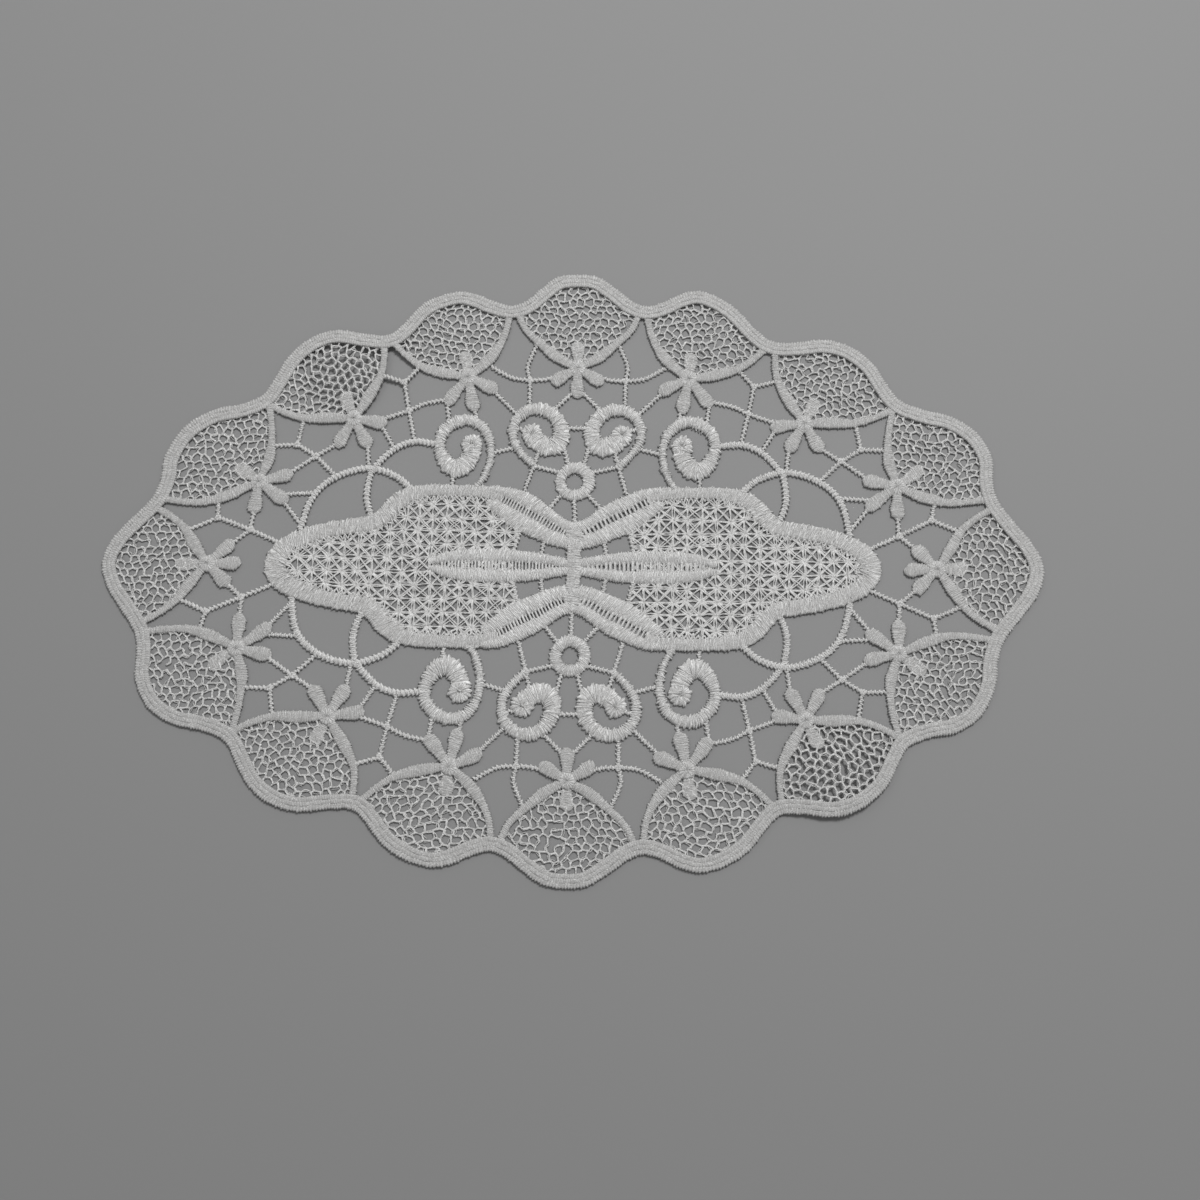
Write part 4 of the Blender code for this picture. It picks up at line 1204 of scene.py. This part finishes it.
def lay_scallop_net(work, number):
    """The net of one scallop and of its mirrored copies: a thick thread and two loose fine ones."""
    outline = scallop_outlines()[number]
    _, x, y, _, net_turn = FLOWERS[number]
    radius = sizes().net_thread / MM / 2
    for turn, (quarter, _) in enumerate(in_all_quarters([(x, y)])):
        starts, ends = honeycomb(outline, sizes().net_cell / MM, net_turn, 5 * number + turn)
        flip = np.array([quarter[0], quarter[1], 1])
        starts, ends = starts * flip, ends * flip
        seed = SEEDS["net"] + 4 * number + turn
        lay(work, starts, ends, radius * 0.96, seed, sides=4, bow=0.15, sag=0.05, swell=0.3, aside=0.12)
        chosen = np.random.default_rng(seed).uniform(0, 1, len(starts))
        for least, most, thin, aside in NET_STRANDS:
            some = (chosen >= least) & (chosen < most)
            lay(work, starts[some], ends[some], radius * thin, seed + 40, sides=3, bow=0.24, sag=-0.08,
                aside=aside)


def sew_cords(work):
    """The heavy and the light cords, and a small disc where three or more light ones meet."""
    # columns: kind, table, width, height
    groups = (("heavy cord", HEAVY_CORDS, sizes().heavy_cord_width / MM, HEAVY_CORD_TOP),
              ("cord", CORDS, sizes().cord_width / MM, CORD_TOP))
    for kind, table, width, top in groups:
        for number, _, copy in copies(table):
            line = np.column_stack([copy, np.full(len(copy), width)])
            sew(work, smooth(line), kind, top, SEEDS[kind] + number)
    ends = [point for _, points in CORDS for point in (points[0], points[-1])]
    for number, place in enumerate(sorted({p for p in ends if ends.count(p) >= 3})):
        for turn, (_, copy) in enumerate(in_all_quarters([place])):
            seed = SEEDS["knot"] + 4 * number + turn
            sew_ring(work, *copy[0], KNOT_WIDTH / 2, DISC_HOLE, "disc", KNOT_TOP, seed)


# ---------------------------------------------------------------- stage

FLOOR_REACH = 0.8
FLOOR_ROUGHNESS = 0.7
# columns: name, width in metres, power in watts, distance in metres, azimuth and elevation in degrees
LAMPS = (
    ("key_light", 0.28, 6.6, 1.05, 62.0, 57.0),
    ("fill_light", 0.5, 0.4, 0.65, 125.0, 45.0),
)
SKY_STRENGTH = 0.275
# The eye's place in metres and its turn in degrees.
EYE_PLACE = (0.01001, -0.06356, 0.2879)
EYE_TURN = (10.96, 0.45, 0.84)
LENS = 36.94
SENSOR = 36.0
NEAREST = 0.01


def lay_floor(scene):
    """The plain floor that the doily lies on."""
    mesh = bpy.data.meshes.new("floor")
    corners = [(x * FLOOR_REACH, y * FLOOR_REACH, 0) for x, y in ((-1, -1), (1, -1), (1, 1), (-1, 1))]
    mesh.from_pydata(corners, [], [(0, 1, 2, 3)])
    floor = bpy.data.objects.new("floor", mesh)
    material = bpy.data.materials.new("plain_floor")
    material.use_nodes = True
    shader = material.node_tree.nodes["Principled BSDF"].inputs
    shader["Base Color"].default_value = (*scene.doily_colours.floor, 1.0)
    shader["Roughness"].default_value = FLOOR_ROUGHNESS
    mesh.materials.append(material)
    scene.collection.objects.link(floor)


def hang_lamp(scene, name, size, energy, away, azimuth, elevation):
    """A round soft lamp that faces the doily's middle."""
    light = bpy.data.lights.new(name, "AREA")
    light.shape = "DISK"
    light.size = size
    light.energy = energy
    azimuth, elevation = math.radians(azimuth), math.radians(elevation)
    level = away * math.cos(elevation)
    lamp = bpy.data.objects.new(name, light)
    lamp.location = (level * math.cos(azimuth), level * math.sin(azimuth), away * math.sin(elevation))
    lamp.rotation_euler = (math.pi / 2 - elevation, 0, azimuth + math.pi / 2)
    scene.collection.objects.link(lamp)


def set_eye(scene):
    """The camera, tilted a little off straight down."""
    camera = bpy.data.cameras.new("camera")
    camera.sensor_width = SENSOR
    camera.lens = LENS
    camera.clip_start = NEAREST
    eye = bpy.data.objects.new("camera", camera)
    eye.location = EYE_PLACE
    eye.rotation_euler = [math.radians(angle) for angle in EYE_TURN]
    scene.collection.objects.link(eye)
    scene.camera = eye


# ---------------------------------------------------------------- operators

def sewn(name, finish, *steps):
    """One piece, sewn by its steps."""
    work = Sewing()
    for step in steps:
        step(work)
    return work.piece(name, thread_material(finish))


class DOILY_OT_satin(bpy.types.Operator):
    """Sew the scallops' inner edges, the flowers, the scrolls and the medallion"""

    bl_idname = "doily.satin"
    bl_label = "Satin Work"

    def execute(self, context):
        satin = sewn("satin_work", "satin", sew_arcs, sew_flowers, sew_scrolls, sew_medallion)
        return {"FINISHED"}


class DOILY_OT_rim(bpy.types.Operator):
    """Sew the scalloped rim in three rows"""

    bl_idname = "doily.rim"
    bl_label = "Scalloped Rim"

    def execute(self, context):
        sewn("scalloped_rim", "rim", sew_rim)
        return {"FINISHED"}


class DOILY_OT_cords(bpy.types.Operator):
    """Sew the cords that join the motifs"""

    bl_idname = "doily.cords"
    bl_label = "Cords"

    def execute(self, context):
        sewn("cords", "cord", sew_cords)
        return {"FINISHED"}


class DOILY_OT_scallop_nets(bpy.types.Operator):
    """Lay the fine nets in the scallops"""

    bl_idname = "doily.scallop_nets"
    bl_label = "Scallop Nets"

    def execute(self, context):
        for name, numbers in (("crest_nets", (0, 1)), ("shoulder_nets", (2,)), ("end_nets", (3, 4))):
            work = Sewing()
            for number in numbers:
                lay_scallop_net(work, number)
            work.piece(name, thread_material("net"))
        return {"FINISHED"}


class DOILY_OT_star_net(bpy.types.Operator):
    """Lay the medallion's star net and the leaves' ladders"""

    bl_idname = "doily.star_net"
    bl_label = "Star Net and Ladders"

    def execute(self, context):
        sewn("star_net", "net", lay_star_net, lay_ladders)
        return {"FINISHED"}


class DOILY_OT_stage(bpy.types.Operator):
    """Set the floor, the lights and the camera"""

    bl_idname = "doily.stage"
    bl_label = "Stage"

    def execute(self, context):
        scene = context.scene
        lay_floor(scene)
        for lamp in LAMPS:
            hang_lamp(scene, *lamp)
        world = bpy.data.worlds.new("studio")
        world.use_nodes = True
        sky = world.node_tree.nodes["Background"].inputs
        sky["Color"].default_value = (1.0, 1.0, 1.0, 1.0)
        sky["Strength"].default_value = SKY_STRENGTH
        scene.world = world
        scene.view_settings.view_transform = "Standard"
        set_eye(scene)
        return {"FINISHED"}


class DOILY_PT_panel(bpy.types.Panel):
    """Lists the doily's parts in the sidebar"""

    bl_label = "Lace Doily"
    bl_idname = "DOILY_PT_panel"
    bl_space_type = "VIEW_3D"
    bl_region_type = "UI"
    bl_category = "Doily"

    def draw(self, context):
        layout = self.layout
        for group in (context.scene.doily_sizes, context.scene.doily_colours):
            box = layout.box()
            for name in group.__annotations__:
                box.prop(group, name)
        for operator in OPERATORS:
            layout.operator(operator.bl_idname)


OPERATORS = (DOILY_OT_rim, DOILY_OT_cords, DOILY_OT_scallop_nets, DOILY_OT_star_net, DOILY_OT_satin,
             DOILY_OT_stage)
CLASSES = (DoilySizes, DoilyColours, *OPERATORS, DOILY_PT_panel)


def register():
    """Make the properties, the operators and the panel known."""
    for item in CLASSES:
        bpy.utils.register_class(item)
    bpy.types.Scene.doily_sizes = bpy.props.PointerProperty(type=DoilySizes)
    bpy.types.Scene.doily_colours = bpy.props.PointerProperty(type=DoilyColours)


def unregister():
    """Take away what register added."""
    del bpy.types.Scene.doily_colours
    del bpy.types.Scene.doily_sizes
    for item in reversed(CLASSES):
        bpy.utils.unregister_class(item)


def main():
    """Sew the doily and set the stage."""
    register()
    bpy.ops.doily.rim()
    bpy.ops.doily.cords()
    bpy.ops.doily.scallop_nets()
    bpy.ops.doily.star_net()
    bpy.ops.doily.satin()
    bpy.ops.doily.stage()


if __name__ == "__main__":
    main()
